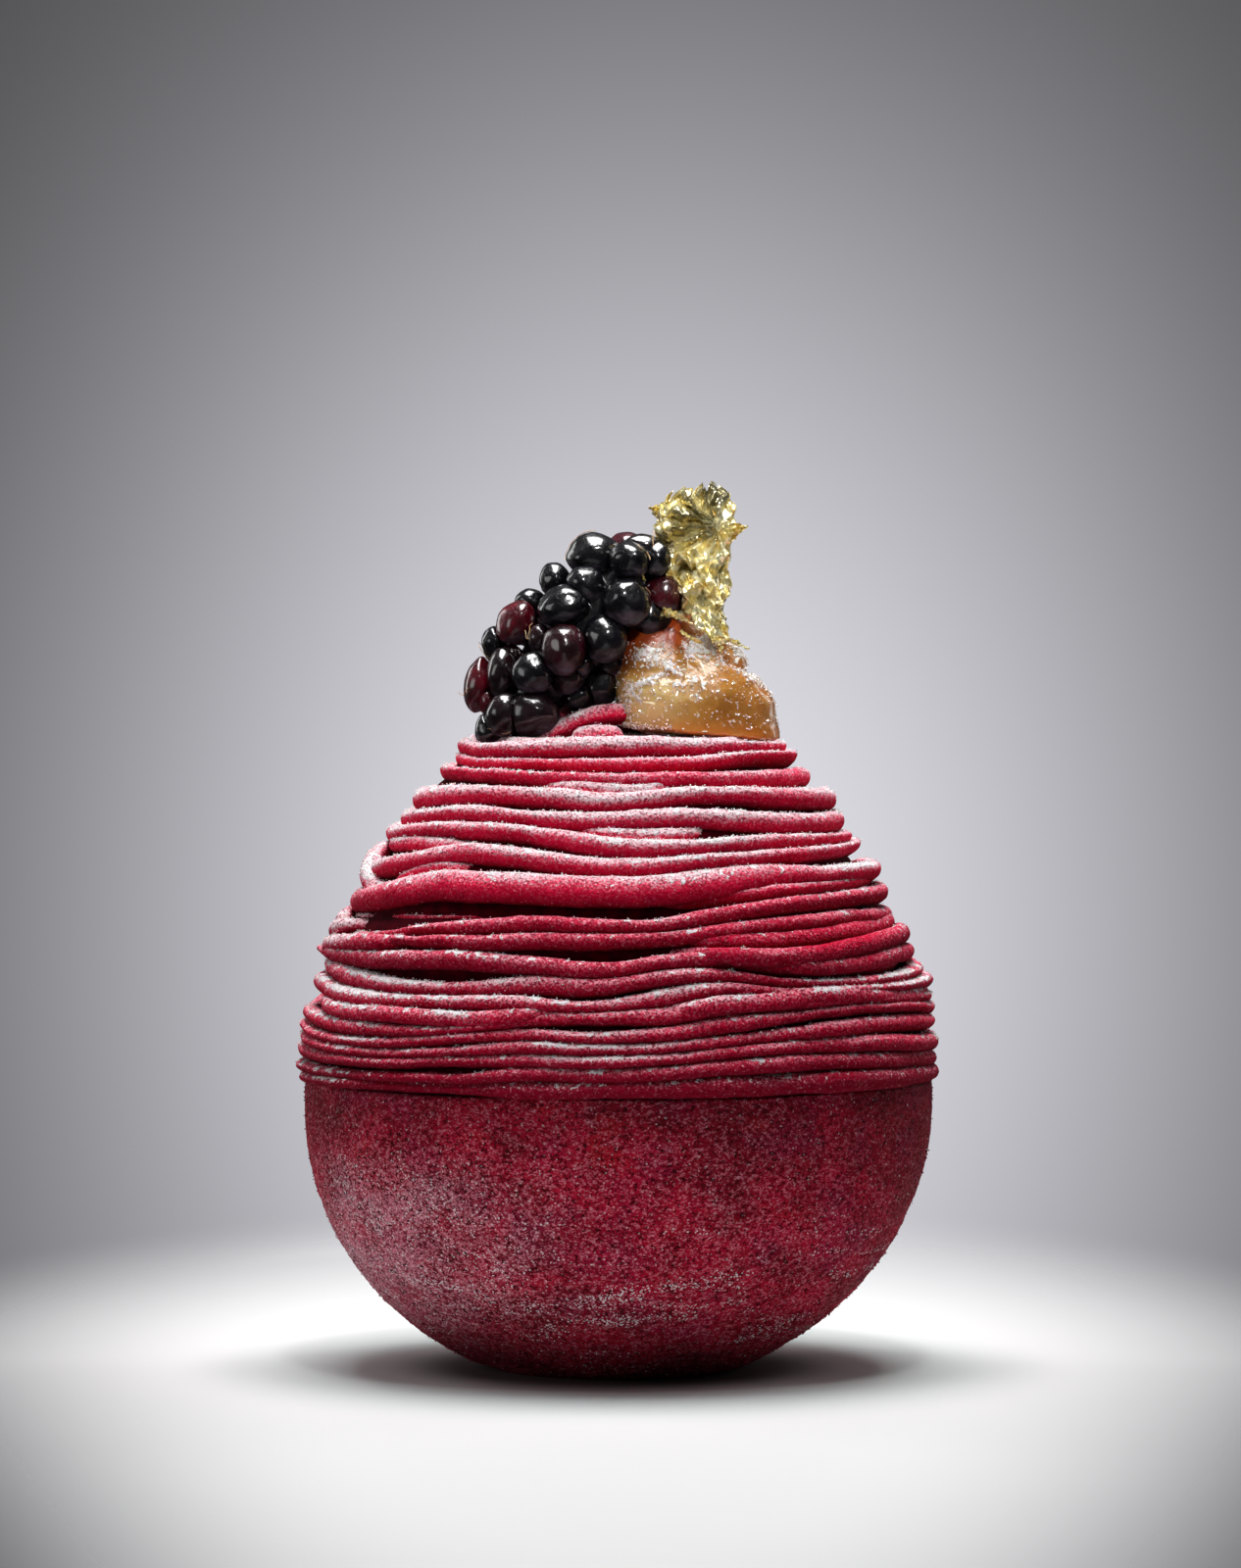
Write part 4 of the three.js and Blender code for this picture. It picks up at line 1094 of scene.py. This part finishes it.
def foil_strip(knots, width, seed):
    """A crumpled strip of leaf through places, torn to a point at its far end."""
    steps, lanes = 46, 12
    t = np.linspace(0, len(knots) - 1, steps)
    path = path_through(knots, t)
    along = unit(np.gradient(path, axis=0))
    aside = unit(np.cross(along, [0.0, -1.0, 0.0]))
    share = np.linspace(-0.5, 0.5, lanes)[None, :]
    run = t[:, None] * 2.2
    ragged = 1 + 0.35 * noise(run * [1, 0, 0], 0.5, seed)
    wide = width * (1 - 0.85 * (t / t[-1]) ** 1.6) * ragged
    points = path[:, None] + (wide[:, None] * share)[..., None] * aside[:, None]
    fold = folds(share * width, run, 0.42, seed)
    points = points + 0.35 * fold[..., None] * np.array([0.3, -1.0, 0.3])
    return closed_sheet(points, GOLD_THICKNESS)


# Finishes: arithmetic on a Value adds the nodes that work it out

BELL_BASE = 2.718
FIRST_COLOUR, SECOND_COLOUR = 6, 7   # the colour sockets of a node that mixes
MIXED_COLOUR = 2


class Value:
    """A number that changes over a surface."""

    def __init__(self, nodes, socket):
        self.nodes = nodes
        self.socket = socket

    def math(self, operation, *others):
        inputs = dict(enumerate([self, *others]))
        return self.nodes.value("ShaderNodeMath", {"operation": operation}, inputs)

    def __add__(self, other):
        return self.math("ADD", other)

    def __sub__(self, other):
        return self.math("SUBTRACT", other)

    def __rsub__(self, other):
        return (self * -1).math("ADD", other)

    def __mul__(self, other):
        return self.math("MULTIPLY", other)

    def __truediv__(self, other):
        return self.math("DIVIDE", other)

    def __pow__(self, other):
        return self.math("POWER", other)

    def __rpow__(self, base):
        return self.nodes.value("ShaderNodeMath", {"operation": "POWER"}, {0: base, 1: self})

    def __gt__(self, other):
        return self.math("GREATER_THAN", other)

    __radd__ = __add__
    __rmul__ = __mul__

    def ease(self, none, full):
        """0 up to one level, 1 from another on, which may be the lower one, and an even change between."""
        settings = {"interpolation_type": "SMOOTHSTEP", "clamp": True}
        inputs = {"Value": self, "From Min": none, "From Max": full}
        return self.nodes.value("ShaderNodeMapRange", settings, inputs, "Result")

    def bell(self, middle, reach):
        return BELL_BASE ** (((self - middle) / reach) ** 2 * -1)


class Nodes:
    """A tree of nodes, and what is worked out in it."""

    def __init__(self, tree):
        self.tree = tree

    def node(self, kind, settings=None, inputs=None):
        """A node of a kind, with its settings made first and then its sockets filled or linked."""
        node = self.tree.nodes.new(kind)
        for setting, value in (settings or {}).items():
            setattr(node, setting, value)
        for socket, value in (inputs or {}).items():
            self.feed(node.inputs[socket], value)
        return node

    def feed(self, socket, value):
        """Link a value to a socket, or fill it with a number, or with a colour of red, green and blue."""
        if isinstance(value, Value):
            value = value.socket
        if isinstance(value, bpy.types.NodeSocket):
            self.tree.links.new(value, socket)
        elif socket.type == "RGBA":
            socket.default_value = (*value, 1)
        else:
            socket.default_value = value

    def value(self, kind, settings=None, inputs=None, output=0):
        return Value(self, self.node(kind, settings, inputs).outputs[output])

    def mark(self, name):
        return self.value("ShaderNodeAttribute", {"attribute_name": name}, output="Fac")

    def place(self, stretch=(1, 1, 1)):
        """Where a point is on the object, in millimetres."""
        coordinates = self.node("ShaderNodeTexCoord").outputs["Object"]
        inputs = {0: coordinates, 1: tuple(share / MM for share in stretch)}
        return self.node("ShaderNodeVectorMath", {"operation": "MULTIPLY"}, inputs).outputs[0]

    def noise(self, cell, detail=2.0, stretch=(1, 1, 1), shift=0.0):
        """Noise from about 0.2 to 0.8 that changes over about one cell."""
        inputs = {"Vector": self.place(stretch), "Scale": 1 / cell, "Detail": detail, "W": shift}
        return self.value("ShaderNodeTexNoise", {"noise_dimensions": "4D"}, inputs)

    def specks(self, cell, stretch=(1, 1, 1)):
        """A random number from 0 to 1 for each small cell of the surface."""
        inputs = {"Vector": self.place(stretch), "Scale": 1 / cell}
        colour = self.node("ShaderNodeTexVoronoi", None, inputs).outputs["Color"]
        return self.value("ShaderNodeSeparateColor", None, {"Color": colour})

    def grains(self, cell, stretch=(1, 1, 1)):
        """Rounded grains side by side: from 0 between them to about 1 at their middles."""
        inputs = {"Vector": self.place(stretch), "Scale": 1 / cell}
        return 1 - self.value("ShaderNodeTexVoronoi", None, inputs, "Distance")

    def part(self, vector, letter):
        """One of the three numbers of a vector."""
        return self.value("ShaderNodeSeparateXYZ", None, {"Vector": vector}, letter)

    def upward(self):
        """How far the surface faces up, from -1 to 1."""
        return self.part(self.node("ShaderNodeNewGeometry").outputs["Normal"], "Z")

    def axis(self, letter):
        """How far along one axis a point is, in millimetres."""
        return self.part(self.place(), letter)

    def mix(self, share, first, second):
        """A colour between two colours."""
        inputs = {"Factor": share, FIRST_COLOUR: first, SECOND_COLOUR: second}
        return self.node("ShaderNodeMix", {"data_type": "RGBA"}, inputs).outputs[MIXED_COLOUR]

    def laid_over(self, colour, *layers):
        """A colour with others laid over it in turn, each given after the share that it covers."""
        for share, layer in layers:
            colour = self.mix(share, colour, layer)
        return colour

    def relief(self, height, depth, strength=1.0):
        """A bump of a height from 0 to 1, as deep as given in millimetres."""
        inputs = {"Height": height, "Distance": depth * MM, "Strength": strength}
        return self.node("ShaderNodeBump", None, inputs).outputs[0]


class Finish(Nodes):
    """A material built from nodes."""

    def __init__(self, name):
        self.material = bpy.data.materials.new(name)
        self.material.use_nodes = True
        super().__init__(self.material.node_tree)
        self.shader = self.tree.nodes["Principled BSDF"]
        self.output = self.tree.nodes["Material Output"]

    def set(self, **sockets):
        """Fill the shader's sockets, whose names are written with underscores, and hand over the material."""
        for name, value in sockets.items():
            self.feed(self.shader.inputs[name.replace("_", " ")], value)
        return self.material


def cream_finish():
    """Crimson cream with a grainy skin and sugar on its crests, with painted shade in its creases, on its
    undersides, under the wide row and lower down.
    """
    finish = Finish("berry_cream")
    up = finish.axis("Z")
    # Painted shade under the wide row, where less sugar lies too.
    wide_foot_shade = up.bell(WIDE_FOOT, 1.2)
    veil = finish.mark("veil") * (1 - wide_foot_shade * 0.45)
    clumps = finish.mark("clumps")
    depth = finish.mark("depth")
    broad = finish.noise(3.0).ease(0.35, 0.65)
    fine = finish.noise(0.45, 1.0).ease(0.30, 0.70)
    crumbs = finish.specks(0.19)
    grain = finish.specks(0.22, (1.1, 0.9, 1.0))
    lumps = finish.grains(0.30)
    # Lower rows: a darker crimson painted as shade, with more grains and darker creases.
    lower = up.ease(56.0, 49.0)
    shaded = up.ease(39.5, 32.5)
    # Painted shade on the rows just below the wide one.
    shade_below_wide = up.bell(WIDE_FOOT - 5.2, 4.2)
    # Painted shade on faces that turn down.
    under = finish.upward().ease(0.10, -0.70)
    pale_grains = grain.ease(0.60, 0.95) * (0.20 + lower * 0.22)
    dark_grains = grain.ease(0.45, 0.05) * (0.24 + lower * 0.46)
    rose = veil.ease(0.0, 0.75) * (0.66 - lower * 0.26)
    grains = fine * 0.22 + crumbs * 0.78
    dusted = (veil * 1.02 + grains - 1.0).ease(-0.22, 0.30)
    # Dark specks in the dust: painted shade between its grains.
    shaded_pits = grain.ease(0.40, 0.10) * veil.ease(0.1, 0.5) * (0.72 + lower * 0.16)
    white = (clumps * 1.05 + grains * 1.05 - 1.0).ease(0.0, 0.24)
    # Painted shade in the creases and gaps between the strands, where the depth mark lies.
    crease = finish.mix(lower, (0.17, 0.001, 0.010), (0.09, 0.001, 0.006))
    dust_white = veil.ease(0.45, 1.0) * 0.75 + grain * 0.25
    dust = finish.mix(dust_white, (1.00, 0.30, 0.40), (0.98, 0.76, 0.80))
    colour = finish.laid_over(
        finish.mix(broad, (0.84, 0.004, 0.050), (1.00, 0.008, 0.068)),
        (lower * 0.30, (0.66, 0.003, 0.038)),
        (pale_grains, (1.00, 0.18, 0.30)),
        (dark_grains, (0.22, 0.001, 0.012)),
        (shaded * 0.76 + shade_below_wide * 0.36, (0.18, 0.002, 0.016)),
        (wide_foot_shade * 0.50, (0.28, 0.002, 0.020)),
        (under * (0.52 + lower * 0.18), (0.19, 0.001, 0.013)),
        (depth, crease),
        (rose, (1.00, 0.12, 0.22)),
        (dusted, dust),
        (shaded_pits, (0.30, 0.005, 0.030)),
        (white, (1.00, 0.94, 0.96)),
    )
    height = lumps * 0.7 + grain * 0.3 + white * 0.2
    return finish.set(Base_Color=colour, Roughness=0.9, Normal=finish.relief(height, 0.19),
                      Subsurface_Weight=0.08, Subsurface_Radius=(1.0, 0.1, 0.14), Subsurface_Scale=0.8 * MM,
                      Specular_IOR_Level=0.06)


def shaded_core_finish():
    """The cream in the gaps, painted near black as the shade that fills them."""
    finish = Finish("cream_inside_shaded")
    shade = finish.noise(1.5).ease(0.35, 0.65)
    colour = finish.mix(shade, (0.040, 0.000, 0.003), (0.080, 0.000, 0.006))
    return finish.set(Base_Color=colour, Roughness=0.9, Specular_IOR_Level=0.05)


def icing_finish():
    """White grains, some of them tinged by the cream."""
    finish = Finish("icing_grains")
    tint = finish.noise(0.8).ease(0.35, 0.65)
    colour = finish.mix(tint, (0.98, 0.96, 0.97), (0.92, 0.78, 0.81))
    return finish.set(Base_Color=colour, Roughness=0.55, Subsurface_Weight=0.2, Subsurface_Scale=0.2 * MM)


def shell_finish():
    """Sandy berry powder, crimson in patches, with pale grains in bands and more at the left, painted light on
    its left side, painted highlights and shade on its grains, and painted shade at the foot, under its top and
    on its right.
    """
    finish = Finish("berry_powder_coat")
    crumb = finish.mark("crumb")
    across, up = finish.axis("X"), finish.axis("Z")
    sand = finish.specks(0.20, (1, 1, 1.25))
    dust = finish.specks(0.17)
    broad = finish.noise(5.0, 3.0, (1, 1, 1.4)).ease(0.36, 0.64)
    clotted = finish.noise(0.75, 2.0, (1, 1, 1.5)).ease(0.34, 0.66)
    violet = finish.noise(7.0, 2.0, (1, 1, 1.3), 9.0).ease(0.50, 0.66)
    deep = finish.noise(8.0, 2.0, (1, 1, 1.2), 14.0).ease(0.53, 0.40)
    warm = finish.noise(4.0, 2.0, (1, 1, 1.5), 5.0).ease(0.56, 0.68) * (0.2 + up.ease(22.0, 30.0) * 0.4)
    side = across.ease(-2.0, -24.0) * across.ease(-35.0, -29.0)
    level = up.ease(29.0, 20.0) * up.ease(2.0, 9.0)
    # The left side: a veil of pale dust with more white grains, and painted light that adds pale colour and
    # highlights.
    veil = side * level * (0.35 + finish.noise(5.0, 2.0, (1, 1, 1.6), 3.0).ease(0.35, 0.62) * 0.65)
    # Painted light on the lower left flank.
    lit_flank = across.ease(-20.0, -28.0) * up.ease(21.0, 12.0)
    lit_share = 0.56 + veil * 0.34 - across.ease(8.0, 26.0) * 0.14 - up.ease(21.0, 30.0) * 0.10
    lit = (sand * 0.8 + clotted * 0.35 + veil * 0.28).ease(0.66, 1.04) * lit_share
    # Near-black specks: painted shade in the hollows between the grains.
    shaded_pits = (sand * 0.7 + clotted * 0.45).ease(0.48, 0.14)
    bands = finish.noise(3.0, 3.0, (0.30, 0.30, 1.8), 2.0).ease(0.50, 0.66)
    low = up.bell(10.0, 7.0)
    whites = (dust + bands * low * 0.20 + veil * 0.10).ease(0.97, 1.02)
    # Painted shade at the foot, under the top and on the right side.
    dark = up.ease(9.5, 0.5) * 0.60 + up.ease(26.0, 31.0) * 0.26 + across.ease(22.0, 33.0) * 0.30
    colour = finish.laid_over(
        finish.mix(broad, (0.36, 0.003, 0.020), (0.56, 0.006, 0.038)),
        (violet * 0.4, (0.32, 0.008, 0.064)),
        (deep * 0.44, (0.12, 0.001, 0.009)),
        (warm, (0.56, 0.010, 0.018)),
        (lit, (0.88, 0.32, 0.42)),
        (veil * 0.22 + lit_flank * 0.25, (0.60, 0.24, 0.30)),
        (shaded_pits * 0.92, (0.012, 0.000, 0.001)),
        (whites * 0.9, (0.95, 0.86, 0.89)),
        (dark * (1 - whites * 0.6), (0.050, 0.001, 0.006)),
    )
    height = sand * 0.55 + clotted * 0.45 + crumb * 0.2
    return finish.set(Base_Color=colour, Roughness=0.9, Normal=finish.relief(height, 0.20),
                      Specular_IOR_Level=0.12)


def crumb_finish():
    """Crimson crumbs, a few of them pale."""
    finish = Finish("berry_crumb")
    tint = finish.mark("tint")
    crimson = finish.mix(tint, (0.20, 0.006, 0.022), (0.50, 0.03, 0.07))
    colour = finish.mix(tint > 0.97, crimson, (0.86, 0.66, 0.71))
    return finish.set(Base_Color=colour, Roughness=0.9, Specular_IOR_Level=0.1)


def drupelet_finish():
    """Black skin, red where it is less ripe, wrinkled and glossy, with a faint painted reflection of the floor
    below.
    """
    finish = Finish("bramble_skin")
    ripe = finish.mark("ripe")
    shade = finish.noise(2.0).ease(0.4, 0.7)
    black = finish.mix(shade, (0.001, 0.001, 0.002), (0.004, 0.003, 0.006))
    red = finish.mix(shade, (0.07, 0.001, 0.006), (0.20, 0.002, 0.014))
    # Painted grey reflection of the bright floor on faces that turn down.
    floor_reflection = finish.upward().ease(-0.25, -0.70) * finish.noise(1.6).ease(0.35, 0.65)
    colour = finish.laid_over(black, (ripe, red), (floor_reflection * 0.5, (0.15, 0.13, 0.17)))
    wrinkles = finish.noise(0.9, 3.0) * 0.6 + finish.noise(0.30, 2.0, (1, 1, 0.5)) * 0.4
    rough = 0.30 + finish.noise(1.2).ease(0.3, 0.8) * 0.12
    shine = 0.15 + finish.upward().ease(-0.35, 0.15) * 0.85
    return finish.set(Base_Color=colour, Roughness=rough, Normal=finish.relief(wrinkles, 0.46, 0.8),
                      Specular_IOR_Level=0.15, Coat_Weight=shine, Coat_Roughness=0.16, Coat_IOR=1.85)


def hair_finish():
    """Hairs the colour of straw."""
    finish = Finish("dry_hair")
    shade = finish.noise(1.0).ease(0.4, 0.6)
    colour = finish.mix(shade, (0.50, 0.24, 0.09), (0.85, 0.60, 0.34))
    return finish.set(Base_Color=colour, Roughness=0.5)


def chestnut_finish():
    """Amber flesh under a clear glaze, with painted light at its left, painted shade at its right, along its
    creases, at its top and next to the fruit, and white where sugar lies.
    """
    finish = Finish("candied_flesh")
    frost = finish.mark("frost")
    across, up = finish.axis("X"), finish.axis("Z")
    streaks = finish.noise(1.8, 3.0, (1, 1, 0.6)).ease(0.35, 0.65)
    mottle = finish.noise(0.5, 2.0).ease(0.35, 0.7)
    # Painted shade on the right.
    right = across.ease(7.0, 16.0)
    high = up.ease(78.8, 81.3)
    # Painted shade on the top, towards its left.
    shaded_top = high * across.ease(9.5, 6.5)
    # Painted light on the left of its front.
    left = across.bell(3.4, 3.8) * up.bell(74.2, 2.4)
    foot = up.bell(70.4, 1.3)
    # Painted shade next to the fruit.
    shade_near_fruit = across.ease(3.2, 0.4) * up.ease(76.5, 79.5)
    ripples = finish.noise(0.8, 3.0) * 0.7 + finish.noise(0.25, 2.0) * 0.3
    crystals = finish.specks(0.22)
    veined = (finish.mark("veined") * 0.7 + crystals * 0.5).ease(0.72, 0.95)
    white = (frost * 0.85 + crystals * 0.55).ease(0.60, 0.85)
    colour = finish.laid_over(
        finish.mix(streaks, (0.38, 0.145, 0.006), (0.50, 0.24, 0.022)),
        (left * 0.9, (0.96, 0.76, 0.33)),
        (right * 0.75, (0.47, 0.175, 0.032)),
        (foot * 0.7, (0.72, 0.22, 0.02)),
        # Painted shade along the creases.
        (finish.mark("groove") * 0.6, (0.36, 0.12, 0.05)),
        (mottle * 0.18, (0.66, 0.38, 0.10)),
        (shaded_top * 0.92, (0.34, 0.034, 0.002)),
        (shade_near_fruit * 0.90, (0.26, 0.008, 0.004)),
        (veined * 0.40, (0.80, 0.58, 0.46)),
        (white, (1.00, 0.97, 0.95)),
    )
    height = ripples * 0.7 + white * crystals * 0.9
    return finish.set(Base_Color=colour, Roughness=0.34, Normal=finish.relief(height, 0.20, 0.7),
                      Subsurface_Weight=0.35, Subsurface_Radius=(1.0, 0.45, 0.18), Subsurface_Scale=2.0 * MM,
                      Coat_Weight=0.7 - high * 0.45, Coat_Roughness=0.09)


def crystal_finish():
    """White crystals that glint."""
    finish = Finish("sugar_crystal")
    tint = finish.noise(0.8).ease(0.4, 0.6)
    colour = finish.mix(tint, (0.98, 0.96, 0.93), (0.94, 0.84, 0.76))
    return finish.set(Base_Color=colour, Roughness=0.22, Specular_IOR_Level=1.0,
                      Coat_Weight=1.0, Coat_Roughness=0.12, Coat_IOR=2.0)


def gold_finish():
    """Bright beaten gold, with darker, deeper-toned patches at random painted as the shade of its folds, and
    dark painted shade where the shade mark lies.
    """
    finish = Finish("gold_foil")
    tone = finish.noise(1.4).ease(0.35, 0.65)
    # Darker patches at random: painted shade of the folds.
    creased = finish.noise(0.7, 1.0).ease(0.42, 0.36)
    colour = finish.laid_over(
        finish.mix(tone, (1.00, 0.80, 0.24), (1.00, 0.94, 0.58)),
        (creased * 0.7, (0.60, 0.36, 0.04)),
        (finish.mark("shade") * 0.85, (0.10, 0.085, 0.030)),
    )
    rough = 0.14 + finish.noise(0.5).ease(0.3, 0.8) * 0.12
    return finish.set(Base_Color=colour, Metallic=0.60, Roughness=rough, Specular_IOR_Level=1.0,
                      Coat_Weight=0.5, Coat_Roughness=0.15, Coat_IOR=2.0)


# Stage

POOL_MIDDLE = 8.0                # the pool of light on the floor lies a little behind the object
POOL_WIDE, POOL_DEEP = 70.0, 140.0
POOL_AHEAD = 330.0               # it reaches further towards the viewer, past the edge of the picture
POOL_TAPER = 0.0022              # and narrows as it does
POOL_FADE = (0.5, 1.42)          # shares of the pool's size between which the floor fades into the backdrop
FLOOR_HEIGHT = -0.02


def floor_finish():
    """A pale floor, painted cooler and darker round the object as shade and with a painted shadow under it,
    that fades out at the edge of its light.
    """
    finish = Finish("pale_floor")
    x, y = finish.axis("X"), finish.axis("Y")
    # Painted shade round the object, tinted cool against the red light thrown from the shell.
    near = ((x / 50.0) ** 2 + (y / 60.0) ** 2).ease(1.0, 0.2)
    # A painted shadow right under the object.
    under = ((x ** 2 + y ** 2) ** 0.5).ease(28.0, 17.0)
    colour = finish.laid_over(
        finish.mix(near, (0.82, 0.82, 0.82), (0.68, 0.76, 0.75)),
        (under * 0.94, (0.09, 0.045, 0.045)),
    )
    finish.set(Base_Color=colour, Roughness=0.7, Specular_IOR_Level=0.1)
    from_middle = y - POOL_MIDDLE
    ahead = from_middle.math("MINIMUM", 0.0)
    deep = from_middle.math("MAXIMUM", 0.0) / POOL_DEEP + ahead / POOL_AHEAD
    wide = x / POOL_WIDE * (1 - ahead * POOL_TAPER)
    reach = (wide ** 2 + deep ** 2) ** 0.5
    clear = finish.node("ShaderNodeBsdfTransparent").outputs[0]
    inputs = {0: reach.ease(*POOL_FADE), 1: finish.shader.outputs[0], 2: clear}
    faded = finish.node("ShaderNodeMixShader", None, inputs).outputs[0]
    finish.feed(finish.output.inputs["Surface"], faded)
    return finish.material


def make_floor():
    """The floor, as far as the light on it reaches."""
    rings = np.linspace(0.04, POOL_FADE[1] + 0.04, 24)
    rounds = 96
    turn = np.linspace(0, 2 * math.pi, rounds, endpoint=False)
    x = rings[:, None] * np.cos(turn) * POOL_WIDE
    y = rings[:, None] * np.sin(turn) * np.where(turn > math.pi, POOL_AHEAD, POOL_DEEP) + POOL_MIDDLE
    points = np.stack(np.broadcast_arrays(x, y, FLOOR_HEIGHT), axis=-1).reshape(-1, 3)
    vertices = np.concatenate([points, [[0, POOL_MIDDLE, FLOOR_HEIGHT]]])
    faces = grid_faces(len(rings), rounds, False, True)
    faces = np.concatenate([faces, fan(len(points), np.arange(rounds), False)])
    floor = make_piece("floor", vertices, faces, floor_finish())


def make_world():
    """A grey backdrop with a soft glow behind the object, as seen from the front."""
    world = bpy.data.worlds.new("studio")
    bpy.context.scene.world = world
    world.use_nodes = True
    nodes = Nodes(world.node_tree)
    direction = nodes.node("ShaderNodeTexCoord").outputs["Generated"]
    x, y, z = (nodes.part(direction, letter) for letter in "XYZ")
    ahead = y > 0
    glow = x.bell(0.004, 0.0635) * z.bell(-0.060, 0.085) * ahead
    shade = x.bell(0.0, 0.26) * z.bell(0.0, 0.22) * ahead
    level = 0.06 * (1 - shade * 0.2) * (1 - y.ease(0.0, -0.35) * 0.5) + 0.72 * glow
    shares = {"Red": level * 0.99, "Green": level * 0.98, "Blue": level * 1.05}
    colour = nodes.node("ShaderNodeCombineColor", None, shares).outputs[0]
    nodes.feed(nodes.tree.nodes["Background"].inputs["Color"], colour)


def set_up(name, data, place, aim):
    """A lamp or a camera at a place, pointed at another."""
    thing = bpy.data.objects.new(name, data)
    thing.location = Vector(place) * MM
    thing.rotation_euler = (Vector(aim) - Vector(place)).to_track_quat("-Z", "Y").to_euler()
    bpy.context.scene.collection.objects.link(thing)
    return thing


def make_light(name, place, aim, size, power):
    """A wide soft light."""
    light = bpy.data.lights.new(name, "AREA")
    light.shape = "RECTANGLE"
    light.size, light.size_y = size[0] * MM, size[1] * MM
    light.energy = power
    set_up(name, light, place, aim).visible_camera = False


def make_spot(name, place, aim, power, radius, cone):
    """A round light that falls only on the toppings and the upper strands."""
    light = bpy.data.lights.new(name, "SPOT")
    light.energy = power
    light.shadow_soft_size = radius * MM
    light.spot_size = math.radians(cone)
    light.spot_blend = 1.0
    set_up(name, light, place, aim).visible_camera = False


def make_camera():
    """The camera, with the lens that gives the photograph's scale."""
    camera = bpy.data.cameras.new("camera")
    shown_height = PIXEL * PHOTO_HEIGHT
    camera.lens = camera.sensor_width * np.hypot(CAMERA[1], AIM_HEIGHT - CAMERA[2]) / shown_height
    camera.clip_start, camera.clip_end = 0.01, 50
    bpy.context.scene.camera = set_up("camera", camera, CAMERA, (CAMERA[0], 0, AIM_HEIGHT))


# Assembly

def dress(pieces, node):
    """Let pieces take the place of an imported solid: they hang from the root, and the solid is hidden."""
    for piece in pieces:
        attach(piece, "root")
        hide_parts(node)


bpy.context.scene.view_settings.view_transform = "Standard"
make_camera()
make_floor()
make_world()
make_light("top", (0, 30, 620), (0, 0, 50), (360, 360), 4.4)
make_light("left_rim", (-430, 330, 220), (0, 0, 50), (160, 420), 0.6)
make_light("right_rim", (430, 330, 220), (0, 0, 50), (160, 420), 0.5)
make_light("left_fill", (-760, -420, 260), (0, 0, 40), (400, 400), 0.8)
make_spot("upper_spot", (20, -190, 560), (2, 0, 86), 8.0, 45, 9)
make_spot("leaf_spot", (120, -420, 400), (11, 0, 91), 10.5, 14, 4.2)

shell = meringue_shell(shell_finish())
crumbs = berry_crumbs(shell, crumb_finish())
dress([shell, crumbs], "meringue_shell")

strands = cream_pieces(cream_finish())
surfaces = [vertices_of(piece) for piece in strands]
mark_cream(strands, surfaces)
core = cream_core(shaded_core_finish())
sugar = icing_sugar(surfaces, icing_finish())
dress([*strands, core, sugar], "cream_strands")

dress(bramble_pieces(drupelet_finish(), hair_finish()), "bramble")

chestnut = candied_chestnut(chestnut_finish())
crystals = sugar_crystals(chestnut, crystal_finish())
dress([chestnut, crystals], "candied_chestnut")

dress([gold_leaf(gold_finish())], "gold_leaf")
